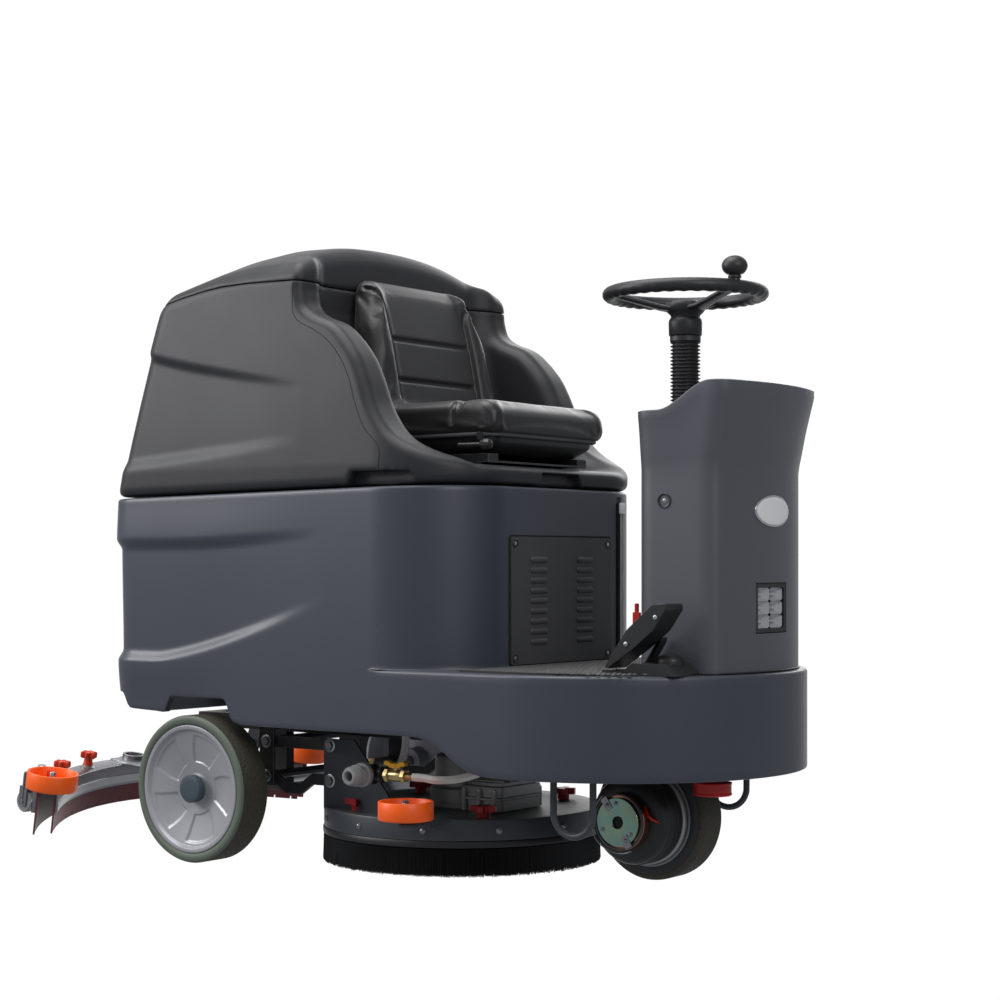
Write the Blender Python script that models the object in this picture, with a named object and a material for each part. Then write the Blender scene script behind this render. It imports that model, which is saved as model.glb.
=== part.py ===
# Ride-on floor scrubber dryer, built as separate parts.
# Everything is drawn with the rear axle's ground point as zero, +X forward, +Y left, +Z up,
# and the finished machine is then moved along X so that its footprint is centred.

import math

import bmesh
import bpy
from mathutils import Matrix, Vector

# Driving dimensions, in metres
CENTRE_X = 0.268
GAP = 0.0004

BODY_REAR = -0.282
BODY_FRONT = 0.650
BODY_HALF = 0.372
BODY_CORNER = 0.188
REAR_CORNER = 0.090
SPLIT_REAR_Z = 0.744
SPLIT_SLOPE = 0.0152
DECK_TOP = 0.407
DECK_FRONT = 1.150
SKIRT_BOTTOM = 0.217
SKIRT_WALL = 0.016
BODY_BOTTOM = 0.284

REAR_WHEEL_R = 0.150
REAR_WHEEL_FACE = 0.391
REAR_WHEEL_WIDTH = 0.076
REAR_RIM_R = 0.130
AXLE_R = 0.0125

DRIVE_X = 0.873
DRIVE_WHEEL_R = 0.123
DRIVE_WHEEL_CENTRE_Y = 0.008
DRIVE_WHEEL_WIDTH = 0.075

STEER_X = 0.938
SHAFT_R = 0.010
STEER_RIM_Z = 1.123
STEER_RIM_R = 0.145
STEER_TUBE_R = 0.014
KNOB_ANGLE = math.radians(-20)

SMALL_SPROCKET_R = 0.016
LARGE_SPROCKET_R = 0.036
CHAIN_LOW = 0.2995
CHAIN_HIGH = 0.3075
CHAIN_THICKNESS = 0.003

DECK_X = 0.400
BRUSH_DECK_R = 0.285
ARM_REAR_X = 0.050
ARM_FRONT_X = 0.226
ARM_LOW_Z = 0.166
ARM_HIGH_Z = 0.238
ARM_Y = 0.204
ARM_THICKNESS = 0.008
PIN_R = 0.006

SQUEEGEE_HINGE_X = -0.240
SQUEEGEE_HINGE_Z = 0.200
SQUEEGEE_RAISED = math.radians(9)
SQUEEGEE_SWING_X = -0.345
SQUEEGEE_REAR_X = -0.590
SQUEEGEE_R = 0.600
SQUEEGEE_HALF = 0.425

SEAT_HALF = 0.205


def clearScene():
    for item in list(bpy.data.objects):
        bpy.data.objects.remove(item)


def finish(name, colour, roughness, metallic=0.0):
    made = bpy.data.materials.new(name)
    made.use_nodes = True
    shader = made.node_tree.nodes["Principled BSDF"]
    shader.inputs["Base Color"].default_value = (*colour, 1.0)
    shader.inputs["Roughness"].default_value = roughness
    shader.inputs["Metallic"].default_value = metallic
    return made


def addObject(name, geometry, material, location=(0, 0, 0)):
    mesh = bpy.data.meshes.new(name)
    bmesh.ops.recalc_face_normals(geometry, faces=geometry.faces)
    geometry.to_mesh(mesh)
    geometry.free()
    mesh.materials.append(material)
    mesh.shade_smooth()
    mesh.set_sharp_from_angle(angle=math.radians(35))
    made = bpy.data.objects.new(name, mesh)
    made.location = location
    bpy.context.collection.objects.link(made)
    return made


def cutter(made):
    made.hide_render = True
    made.display_type = "WIRE"
    return made


def combine(target, tool, operation="DIFFERENCE"):
    cutter(tool)
    step = target.modifiers.new(tool.name, "BOOLEAN")
    step.operation = operation
    step.solver = "EXACT"
    step.object = tool
    return target


def filleted(corners, steps=5):
    # corners are (a, b, radius); a rounded corner becomes an arc
    points = []
    count = len(corners)
    for index, (a, b, radius) in enumerate(corners):
        here = Vector((a, b))
        if radius <= 0:
            points.append((a, b))
            continue
        before = (Vector(corners[index - 1][:2]) - here).normalized()
        after = (Vector(corners[(index + 1) % count][:2]) - here).normalized()
        half = math.acos(max(-1.0, min(1.0, before.dot(after)))) / 2
        centre = here + (before + after).normalized() * (radius / math.sin(half))
        start = here + before * (radius / math.tan(half)) - centre
        end = here + after * (radius / math.tan(half)) - centre
        sweep = start.angle_signed(end)
        for step in range(steps + 1):
            turned_by = Matrix.Rotation(-sweep * step / steps, 2)
            points.append(tuple(centre + turned_by @ start))
    return points


def ringMesh(rings, closed=False):
    # skins equal rings of points one after another; open stacks are capped
    geometry = bmesh.new()
    made = [[geometry.verts.new(point) for point in ring] for ring in rings]
    count = len(made[0])
    pairs = list(zip(made, made[1:] + made[:1])) if closed else list(zip(made, made[1:]))
    for low, high in pairs:
        for index in range(count):
            after = (index + 1) % count
            geometry.faces.new((low[index], low[after], high[after], high[index]))
    if not closed:
        geometry.faces.new(made[0])
        geometry.faces.new(made[-1])
    return geometry


def prism(outline, low, high, axis="Z"):
    # a straight bar with this outline, from low to high along the axis
    if axis == "Z":
        rings = [[(a, b, level) for a, b in outline] for level in (low, high)]
    elif axis == "Y":
        rings = [[(a, level, b) for a, b in outline] for level in (low, high)]
    else:
        rings = [[(level, a, b) for a, b in outline] for level in (low, high)]
    return ringMesh(rings)


def box(name, low, high, material):
    outline = [(low[0], low[1]), (high[0], low[1]), (high[0], high[1]), (low[0], high[1])]
    return addObject(name, prism(outline, low[2], high[2]), material)


def disc(radius, steps=24, centre=(0, 0), phase=0.0):
    turns = (phase + 2 * math.pi * index / steps for index in range(steps))
    return [(centre[0] + radius * math.cos(t), centre[1] + radius * math.sin(t)) for t in turns]


def turned(profile, axis="Z", steps=24, closed=False):
    # (radius, height) pairs spun about the axis; radius 0 makes a pole
    geometry = bmesh.new()
    columns = []
    for radius, height in profile:
        if radius == 0:
            columns.append([geometry.verts.new((0, 0, height))])
            continue
        ring = [(radius * math.cos(2 * math.pi * k / steps), radius * math.sin(2 * math.pi * k / steps))
                for k in range(steps)]
        columns.append([geometry.verts.new((x, y, height)) for x, y in ring])
    pairs = list(zip(columns, columns[1:]))
    if closed:
        pairs.append((columns[-1], columns[0]))
    for low, high in pairs:
        for k in range(steps):
            after = (k + 1) % steps
            corners = [low[k % len(low)], low[after % len(low)], high[after % len(high)],
                       high[k % len(high)]]
            distinct = []
            for corner in corners:
                if corner not in distinct:
                    distinct.append(corner)
            geometry.faces.new(distinct)
    turns = {"Z": Matrix(), "Y": Matrix.Rotation(-math.pi / 2, 4, "X"),
             "-Y": Matrix.Rotation(math.pi / 2, 4, "X"), "X": Matrix.Rotation(math.pi / 2, 4, "Y")}
    geometry.transform(turns[axis])
    return geometry


def rod(name, start, end, radius, material, steps=16):
    # a plain round bar between two points
    start = Vector(start)
    along = Vector(end) - start
    geometry = turned([(0, 0), (radius, 0), (radius, along.length), (0, along.length)], "Z", steps)
    geometry.transform(along.to_track_quat("Z", "Y").to_matrix().to_4x4())
    return addObject(name, geometry, material, start)


def tube(name, points, radius, material, resolution=2, smooth=True):
    # a round bar or hose along a smooth line through the points
    route = smoothed(points) if smooth else points
    data = bpy.data.curves.new(name, "CURVE")
    data.dimensions = "3D"
    data.bevel_depth = radius
    data.bevel_resolution = resolution
    data.use_fill_caps = True
    spline = data.splines.new("POLY")
    spline.points.add(len(route) - 1)
    for place, point in zip(spline.points, route):
        place.co = (*point, 1.0)
    data.materials.append(material)
    made = bpy.data.objects.new(name, data)
    bpy.context.collection.objects.link(made)
    return made


def smoothed(points, steps=4):
    # Catmull-Rom through hand-placed points
    places = [Vector(point) for point in points]
    places = [2 * places[0] - places[1]] + places + [2 * places[-1] - places[-2]]
    route = []
    for a, b, c, d in zip(places, places[1:], places[2:], places[3:]):
        for step in range(steps):
            t = step / steps
            route.append(0.5 * (2 * b + (c - a) * t + (2 * a - 5 * b + 4 * c - d) * t * t
                                + (3 * b - a - 3 * c + d) * t ** 3))
    route.append(places[-2])
    return route


def splitZ(x):
    return SPLIT_REAR_Z + SPLIT_SLOPE * (x - BODY_REAR)


def lerp(a, b, t):
    return a + (b - a) * t


# ---------------------------------------------------------------- lower body and its frame

def bodyPlan(half, grow=0.0):
    return filleted([(BODY_REAR - grow, -half, REAR_CORNER), (BODY_FRONT + grow, -half, BODY_CORNER),
                     (BODY_FRONT + grow, half, BODY_CORNER), (BODY_REAR - grow, half, REAR_CORNER)])


def deckPlan(rear, inset):
    half = BODY_HALF + 0.001 - inset
    return filleted([(rear, -half, 0), (DECK_FRONT - inset, -half, half - 0.001),
                     (DECK_FRONT - inset, half, half - 0.001), (rear, half, 0)], 9)


def makeLowerBody(shell):
    outline = bodyPlan(BODY_HALF)
    rings = [[(x, y, BODY_BOTTOM - 0.05) for x, y in outline], [(x, y, splitZ(x)) for x, y in outline]]
    body = addObject("lower_body", ringMesh(rings), shell)
    deck = addObject("deck_block", prism(deckPlan(0.20, 0.0), SKIRT_BOTTOM - 0.02, DECK_TOP), shell)
    combine(body, deck, "UNION")
    under = [(-0.40, 0.10), (1.30, 0.10), (1.30, SKIRT_BOTTOM), (0.745, SKIRT_BOTTOM), (0.700, 0.226),
             (0.655, 0.258), (0.600, 0.281), (0.560, BODY_BOTTOM), (0.120, BODY_BOTTOM), (0.094, 0.290),
             (0.086, 0.335), (-0.086, 0.335), (-0.094, 0.300), (-0.203, 0.306), (-0.222, 0.335),
             (-0.40, 0.337)]
    combine(body, addObject("under_cut", prism(under, -0.5, 0.5, "Y"), shell))
    foot = addObject("foot_hollow", prism(deckPlan(0.550, SKIRT_WALL), 0.10, 0.385), shell)
    combine(body, foot)
    combine(body, box("battery_bay", (-0.200, -0.205, 0.360), (0.400, 0.205, 0.90), shell))
    combine(body, addObject("shaft_hole", prism(disc(0.024, 16, (STEER_X, 0)), 0.37, 0.42), shell))
    groove = prism(disc(0.013, 10, (BODY_FRONT + 0.003, 0.213)), DECK_TOP + 0.004, 0.90)
    combine(body, addObject("level_groove", groove, shell))
    return body


def makeFrame(steel):
    frame = box("chassis_frame", (-0.225, -0.135, 0.252), (0.700, -0.105, 0.2835), steel)
    combine(frame, box("frame_rail_left", (-0.225, 0.105, 0.252), (0.700, 0.135, 0.2835), steel), "UNION")
    for index, (low, high) in enumerate(((-0.228, -0.198), (0.030, 0.070), (0.640, 0.698))):
        bar = box("frame_cross_%d" % index, (low, -0.134, 0.2525), (high, 0.134, 0.283), steel)
        combine(frame, bar, "UNION")
    for side in (-1, 1):
        low, high = sorted((side * 0.108, side * 0.132))
        post = box("frame_post_%d" % side, (0.660, low, 0.253), (0.690, high, 0.360), steel)
        combine(frame, post, "UNION")
        block = box("axle_block_%d" % side, (-0.030, low, 0.125), (0.030, high, 0.260), steel)
        combine(frame, block, "UNION")
        # outrigger and plate that carry the two lift arms
        low, high = sorted((side * 0.130, side * 0.2145))
        combine(frame, box("outrigger_%d" % side, (0.034, low, 0.262), (0.066, high, 0.282), steel),
                "UNION")
        low, high = sorted((side * 0.2086, side * 0.2146))
        plate = box("arm_plate_%d" % side, (0.030, low, 0.146), (0.070, high, 0.281), steel)
        combine(frame, plate, "UNION")
    combine(frame, box("fork_plate", (0.655, -0.133, 0.345), (0.990, 0.133, 0.3655), steel), "UNION")
    # rear ears for the squeegee arm
    for side in (-1, 1):
        low, high = sorted((side * 0.040, side * 0.048))
        ear = filleted([(-0.262, 0.182, 0.014), (-0.218, 0.182, 0.014), (-0.200, 0.270, 0),
                        (-0.226, 0.270, 0)], 3)
        combine(frame, addObject("squeegee_ear_%d" % side, prism(ear, low, high, "Y"), steel), "UNION")
    combine(frame, addObject("axle_bore", prism(disc(AXLE_R + 0.0006, 16), -0.3, 0.3, "Y"), steel,
                             (0, 0, REAR_WHEEL_R)))
    for level in (ARM_LOW_Z, ARM_HIGH_Z):
        hole = prism(disc(PIN_R + 0.0008, 8), -0.3, 0.3, "Y")
        combine(frame, addObject("arm_hole", hole, steel, (ARM_REAR_X, 0, level)))
    hinge = prism(disc(0.0056, 8), -0.06, 0.06, "Y")
    combine(frame, addObject("squeegee_hole", hinge, steel, (SQUEEGEE_HINGE_X, 0, SQUEEGEE_HINGE_Z)))
    combine(frame, addObject("spindle_hole", prism(disc(0.0230, 16, (DRIVE_X, 0)), 0.33, 0.38), steel))
    combine(frame, addObject("column_hole", prism(disc(0.0115, 12, (STEER_X, 0)), 0.33, 0.38), steel))
    return frame


def makeRearAxle(steel):
    length = 0.370
    profile = [(0, -length), (AXLE_R, -length), (AXLE_R, length), (0, length)]
    return addObject("rear_axle", turned(profile, "Y", 16), steel, (0, 0, REAR_WHEEL_R))


def makeBattery(black):
    battery = box("battery_pack", (-0.180, -0.190, 0.3605), (0.370, 0.190, 0.632), black)
    for x in (-0.130, 0.070, 0.120, 0.320):
        for y in (-0.15, 0.15):
            post = prism(disc(0.010, 8, (x, y)), 0.62, 0.648)
            combine(battery, addObject("terminal", post, black), "UNION")
    return battery


def makeVentPanel(plastic):
    outline = filleted([(-0.175, 0.4125, 0.008), (0.175, 0.4125, 0.008), (0.175, 0.661, 0.008),
                        (-0.175, 0.661, 0.008)], 2)
    return addObject("vent_panel", prism(outline, BODY_FRONT + GAP, BODY_FRONT + 0.004, "X"), plastic)


def makeFootMat(rubber):
    mat = addObject("foot_mat",
                    prism(deckPlan(BODY_FRONT + 0.006, 0.030), DECK_TOP + GAP, DECK_TOP + 0.004), rubber)
    notch = prism(columnRing(0.42, 0.004), 0.39, 0.43)
    combine(mat, addObject("mat_column_notch", notch, rubber))
    combine(mat, box("mat_pedal_notch", (0.912, -0.268, 0.39), (1.20, -0.150, 0.43), rubber))
    return mat


def makeLevelTube(clear):
    x = BODY_FRONT + 0.0025
    tubePiece = addObject("level_tube", turned([(0, 0), (0.0055, 0), (0.0055, 0.285), (0.0095, 0.289),
                                                (0.0095, 0.318), (0, 0.318)], "Z", 12), clear,
                                                (x, 0.213, 0.4165))
    return tubePiece


# ---------------------------------------------------------------- column, dash and steering

def columnTop(x):
    # the rim is flat beside the driver and sweeps up to the nose
    t = max(0.0, min(1.0, (x - 0.985) / 0.125))
    return 0.889 + 0.064 * t * t * (3 - 2 * t)


def columnRing(z, grow=0.0):
    flare = max(0.0, min(1.0, (z - 0.80) / 0.14)) ** 1.6
    half = 0.1665 + 0.010 * flare + grow
    front = 1.128 + 0.020 * flare + grow
    bow = 0.034
    corner = front - bow
    radius = (half * half + bow * bow) / (2 * bow)
    points = [(0.884 - grow, 0.0), (0.950 - grow, -half + 0.004), (0.962, -half)]
    points.append((corner - 0.020, -half))
    points.append((corner - 0.006, -half + 0.006))
    for step in range(9):
        y = lerp(-half + 0.016, half - 0.016, step / 8)
        points.append((front - radius + math.sqrt(radius * radius - y * y), y))
    points.append((corner - 0.006, half - 0.006))
    points.append((corner - 0.020, half))
    points += [(0.962, half), (0.950 - grow, half - 0.004)]
    return points


def makeColumn(shell):
    levels = (DECK_TOP + GAP, 0.60, 0.80, 0.85, 0.90)
    outer = [[(x, y, z) for x, y in columnRing(z)] for z in levels]
    outer.append([(x, y, columnTop(x)) for x, y in columnRing(0.94)])
    inner = [[(x, y, z) for x, y in columnRing(z, -0.006)] for z in levels]
    inner.append([(x, y, columnTop(x)) for x, y in columnRing(0.94, -0.006)])
    for rings in (outer, inner):
        for ring in rings[-2:-1]:
            for index, (x, y, z) in enumerate(ring):
                ring[index] = (x, y, min(z, columnTop(x) - 0.012))
    column = addObject("column_shell", ringMesh(outer + inner[::-1], closed=True), shell)
    combine(column, box("headlight_cut", (1.05, -0.0585, 0.4795), (1.20, 0.0585, 0.5735), shell))
    combine(column, addObject("isolator_cut", prism(disc(0.011, 8, (-0.130, 0.508)), 0.80, 1.0, "X"),
                              shell))
    return column


def makeDash(plastic):
    # sloping panel that closes the column, with a hole for the steering shaft's boot
    rings = []
    for drop in (0.0, 0.006):
        ring = []
        for x, y in columnRing(0.88, -0.0068):
            ring.append((x, y, 0.862 + 0.28 * (x - 0.90) - drop))
        rings.append(ring)
    dash = addObject("dash_panel", ringMesh(rings), plastic)
    combine(dash, addObject("boot_hole", prism(disc(0.0212, 16, (STEER_X, 0)), 0.80, 0.95), plastic))
    combine(dash, addObject("key_hole", prism(disc(0.0085, 12, (1.000, -0.075)), 0.80, 0.95), plastic))
    combine(dash, box("switch_hole", (1.0063, 0.064, 0.80), (1.0337, 0.102, 0.95), plastic))
    return dash


def makeIgnitionKey(steel):
    # barrel through the dash with a round-headed key
    key = addObject("ignition_key", turned([(0, -0.030), (0.0078, -0.030), (0.0078, 0.006), (0.011, 0.006),
                                            (0.011, 0.010), (0, 0.010)], "Z", 10), steel,
                                            (1.000, -0.075, 0.890))
    blade = box("key_blade", (0.9985, -0.0775, 0.895), (1.0015, -0.0725, 0.914), steel)
    head = addObject("key_head", prism(disc(0.012, 12, (-0.075, 0.920)), 0.9975, 1.0025, "X"), steel)
    combine(key, blade, "UNION")
    combine(key, head, "UNION")
    return key


def makeBrushSwitch(plastic):
    # rocker that starts the brush and the water
    rocker = [(-0.0105, -0.012), (0.0105, -0.012), (0.0115, 0.004), (0, 0.007), (-0.0115, 0.009)]
    return addObject("brush_switch", prism(rocker, -0.0175, 0.0175, "Y"), plastic, (1.020, 0.083, 0.8975))


def makeHeadlight(plastic, clear):
    x = 1.122
    housing = box("headlight_housing", (x - 0.045, -0.058, 0.480), (x + 0.0005, 0.058, 0.573), plastic)
    combine(housing, box("headlight_pocket", (x - 0.016, -0.049, 0.4875), (x + 0.1, 0.049, 0.5655),
                         plastic))
    lens = box("headlight_lens", (x - 0.0120, -0.0486, 0.4879), (x - 0.0040, 0.0486, 0.5651), clear)
    return housing, lens


def makeIsolator(red):
    # pull-out battery isolator on the driver's side of the column
    grip = box("battery_isolator", (0.872, -0.144, 0.489), (0.893, -0.116, 0.527), red)
    stem = addObject("isolator_stem", prism(disc(0.009, 12, (-0.130, 0.508)), 0.890, 0.945, "X"), red)
    combine(grip, stem, "UNION")
    return grip


def makeColumnTube(steel):
    profile = [(0.0108, DECK_TOP + GAP), (0.042, DECK_TOP + GAP), (0.042, 0.414), (0.018, 0.414),
               (0.018, 0.852), (0.0108, 0.852)]
    return addObject("column_tube", turned(profile, "Z", 12, closed=True), steel, (STEER_X, 0, 0))


def makeBellows(rubber):
    profile = [(0.0200, 0.856), (0.0200, 0.882), (0.0270, 0.886), (0.0290, 1.041), (0.0112, 1.041),
               (0.0190, 1.014), (0.0190, 0.856)]
    return addObject("steering_boot", turned(profile, "Z", 16, closed=True), rubber, (STEER_X, 0, 0))


def makeSteeringWheel(rubber):
    rim = []
    for step in range(24):
        angle = 2 * math.pi * step / 24
        ring = []
        for a, b in disc(STEER_TUBE_R, 6, phase=math.pi / 2):
            ring.append(((STEER_RIM_R + a) * math.cos(angle), (STEER_RIM_R + a) * math.sin(angle), b))
        rim.append(ring)
    place = (STEER_X, 0, STEER_RIM_Z)
    wheel = addObject("steering_wheel", ringMesh(rim, closed=True), rubber, place)
    hub = turned([(0, -0.0795), (0.0315, -0.0795), (0.0315, -0.046), (0.022, -0.042), (0.022, -0.036),
                  (0.040, -0.028),
                  (0.040, -0.014), (0, -0.012)], "Z", 16)
    combine(wheel, addObject("steering_hub", hub, rubber, place), "UNION")
    for turn in (KNOB_ANGLE, KNOB_ANGLE + 2 * math.pi / 3, KNOB_ANGLE - 2 * math.pi / 3):
        spoke = bmesh.new()
        for along, width, height in ((0.015, 0.022, -0.021), (0.060, 0.016, -0.020),
                                     (0.142, 0.013, -0.001)):
            for side, level in ((-1, -1), (1, -1), (1, 1), (-1, 1)):
                spoke.verts.new((along, side * width, height + level * 0.006))
        spoke.verts.ensure_lookup_table()
        v = spoke.verts
        for first in (0, 4):
            for k in range(4):
                after = (k + 1) % 4
                spoke.faces.new((v[first + k], v[first + after], v[first + 4 + after], v[first + 4 + k]))
        spoke.faces.new(v[0:4])
        spoke.faces.new(v[8:12])
        spoke.transform(Matrix.Rotation(turn, 4, "Z"))
        combine(wheel, addObject("spoke", spoke, rubber, place), "UNION")
    pin = prism(disc(0.0035, 10), -0.004, 0.044)
    at = (STEER_X + STEER_RIM_R * math.cos(KNOB_ANGLE), STEER_RIM_R * math.sin(KNOB_ANGLE), STEER_RIM_Z)
    combine(wheel, addObject("knob_pin", pin, rubber, at), "UNION")
    bore = prism(disc(SHAFT_R + 0.0006, 16), -0.10, -0.024)
    combine(wheel, addObject("wheel_bore", bore, rubber, place))
    return wheel


def makeSpinnerKnob(plastic):
    # ball on a short neck, hollow below for the pin it turns on
    centre, radius = 0.0415, 0.0245
    profile = [(0, 0.0455), (0.0042, 0.0455), (0.0042, 0.0145), (0.0125, 0.0145), (0.0125, 0.0175),
               (0.0085, 0.0190)]
    for step in range(6):
        angle = lerp(math.radians(-60), math.radians(70), step / 5)
        profile.append((radius * math.cos(angle), centre + radius * math.sin(angle)))
    profile.append((0, centre + radius))
    at = (STEER_X + STEER_RIM_R * math.cos(KNOB_ANGLE), STEER_RIM_R * math.sin(KNOB_ANGLE), STEER_RIM_Z)
    return addObject("spinner_knob", turned(profile, "Z", 14), plastic, at)


def makeSteeringShaft(steel):
    # shaft with the small chain sprocket welded to its lower end
    profile = [(0, 0.290), (SHAFT_R, 0.290), (SHAFT_R, 0.300), (SMALL_SPROCKET_R, 0.300),
               (SMALL_SPROCKET_R, 0.307),
               (SHAFT_R, 0.307), (SHAFT_R, 1.0975), (0, 1.0975)]
    return addObject("steering_shaft", turned(profile, "Z", 16), steel, (STEER_X, 0, 0))


def chainLoop(offset):
    # outline of a belt around both sprockets, at this distance outside them
    reach = STEER_X - DRIVE_X
    lean = math.acos((LARGE_SPROCKET_R - SMALL_SPROCKET_R) / reach)
    points = []
    for step in range(6):
        angle = lerp(-lean, lean, step / 5)
        radius = SMALL_SPROCKET_R + offset
        points.append((STEER_X + radius * math.cos(angle), radius * math.sin(angle)))
    for step in range(13):
        angle = lerp(lean, 2 * math.pi - lean, step / 12)
        radius = LARGE_SPROCKET_R + offset
        points.append((DRIVE_X + radius * math.cos(angle), radius * math.sin(angle)))
    return points


def makeChain(steel):
    inner = chainLoop(0.0008)
    outer = chainLoop(0.0008 + CHAIN_THICKNESS)
    rings = [[(x, y, CHAIN_LOW) for x, y in outer], [(x, y, CHAIN_HIGH) for x, y in outer],
             [(x, y, CHAIN_HIGH) for x, y in inner], [(x, y, CHAIN_LOW) for x, y in inner]]
    return addObject("steering_chain", ringMesh(rings, closed=True), steel)


# ---------------------------------------------------------------- front drive unit

def makeDriveUnit(paint, black, chrome, tyre):
    spindle = [(0, 0.2620), (0.085, 0.2620), (0.085, 0.2740), (0.022, 0.2740), (0.022, 0.3000),
               (LARGE_SPROCKET_R, 0.3000), (LARGE_SPROCKET_R, 0.3070), (0.022, 0.3070), (0.022, 0.378),
               (0, 0.378)]
    yoke = addObject("drive_yoke", turned(spindle, "Z", 18), paint, (DRIVE_X, 0, 0))
    side = filleted([(-0.050, 0.095, 0.03), (0.050, 0.095, 0.03), (0.060, 0.268, 0), (-0.060, 0.268, 0)], 4)
    for low, high in ((-0.046, -0.037), (0.053, 0.061)):
        combine(yoke, addObject("fork_side", prism(side, low, high, "Y"), paint, (DRIVE_X, 0, 0)), "UNION")
    hub = prism(disc(0.0192, 12), -0.0465, 0.0615, "Y")
    centre = (DRIVE_X, 0, DRIVE_WHEEL_R)
    combine(yoke, addObject("drive_axle_hole", hub, paint, centre))

    motor = turned([(0, -0.0465), (0.087, -0.0465), (0.087, -0.094), (0.080, -0.104), (0.062, -0.108),
                    (0, -0.108)], "Y", 20)
    drive = addObject("drive_motor", motor, black, centre)
    brake = [(0, -0.1085), (0.054, -0.1085), (0.054, -0.1310), (0.046, -0.1320), (0.0455, -0.1390),
             (0.0115, -0.1390),
             (0.0115, -0.1300), (0, -0.1300)]
    disk = addObject("parking_brake", turned(brake, "Y", 18), chrome, centre)

    half = DRIVE_WHEEL_WIDTH / 2
    y = DRIVE_WHEEL_CENTRE_Y
    wheel = [(0, y - half - 0.004), (0.018, y - half - 0.004), (0.020, y - half + 0.008), (0.096, y - half),
             (0.114, y - half), (DRIVE_WHEEL_R, y - half + 0.009), (DRIVE_WHEEL_R, y + half - 0.009),
             (0.114, y + half), (0.096, y + half), (0.018, y + half - 0.010), (0.018, 0.064), (0, 0.064)]
    roller = addObject("drive_wheel", turned(wheel, "Y", 28), tyre, centre)
    return yoke, drive, disk, roller


def makeGuardBars(paint):
    made = []
    for side, label in ((1, "left"), (-1, "right")):
        y = side * 0.280
        points = [(0.826, y, 0.384), (0.826, y, 0.250), (0.828, y, 0.165)]
        for step in range(1, 8):
            angle = math.pi + math.pi * step / 8
            points.append((0.8695 + 0.0415 * math.cos(angle), y, 0.1525 + 0.0415 * math.sin(angle)))
        points += [(0.911, y, 0.165), (0.913, y, 0.250), (0.913, y, 0.384)]
        made.append(tube("guard_bar_%s" % label, points, 0.0065, paint, 2, smooth=False))
    return made


def makeHorn(red):
    horn = addObject("horn", turned([(0, 0.180), (0.036, 0.180), (0.036, 0.205), (0.020, 0.207),
                                     (0.020, 0.3845),
                                     (0, 0.3845)], "Z", 16), red, (1.045, -0.080, 0))
    return horn


# ---------------------------------------------------------------- pedal

def makePedals(plastic, cover):
    y0, y1 = -0.262, -0.162
    base = [(0.914, DECK_TOP + GAP), (1.072, DECK_TOP + GAP), (1.072, 0.412), (1.050, 0.430),
            (0.975, 0.430),
            (0.960, 0.416), (0.914, 0.416)]
    base = addObject("pedal_base", prism(base, y0 + 0.010, y0 + 0.090, "Y"), cover)
    dome = addObject("pedal_dome", turned([(0, -0.018), (0.026, -0.018), (0.026, 0.004), (0.018, 0.013),
                                           (0, 0.016)],
                                          "Z", 12), cover, (1.030, y0 + 0.056, 0.430))
    combine(base, dome, "UNION")
    plate = [(-0.004, -0.006), (0.006, -0.007), (0.060, 0.028), (0.104, 0.062), (0.130, 0.100),
             (0.128, 0.112),
             (0.104, 0.112)]
    pedal = addObject("accelerator_pedal", prism(plate, 0.0, 0.062, "Y"), plastic, (0.926, y0, 0.4255))
    return base, pedal


# ---------------------------------------------------------------- rear wheels

def makeRearWheel(label, side, tyreMaterial, rimMaterial):
    axis = "Y" if side > 0 else "-Y"
    face = REAR_WHEEL_FACE
    inner = face - REAR_WHEEL_WIDTH
    tyre = [(REAR_RIM_R + 0.0005, inner + 0.002), (REAR_WHEEL_R - 0.004, inner),
            (REAR_WHEEL_R, inner + 0.005),
            (REAR_WHEEL_R, face - 0.006), (REAR_WHEEL_R - 0.005, face), (REAR_RIM_R + 0.0005, face - 0.002)]
    centre = (0, 0, REAR_WHEEL_R)
    tyre = addObject("rear_tyre_%s" % label, turned(tyre, axis, 28, closed=True), tyreMaterial, centre)
    rim = [(0, face), (0.029, face - 0.002), (0.029, face - 0.018), (0.118, face - 0.007),
           (REAR_RIM_R, face - 0.001),
           (REAR_RIM_R, inner + 0.002), (0.122, inner + 0.002), (0.118, face - 0.026),
           (0.034, face - 0.040),
           (0.030, inner + 0.004), (AXLE_R + 0.0010, inner + 0.004), (AXLE_R + 0.0010, 0.3712), (0, 0.3712)]
    rim = addObject("rear_rim_%s" % label, turned(rim, axis, 28), rimMaterial, centre)
    return tyre, rim


# ---------------------------------------------------------------- brush deck

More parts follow.
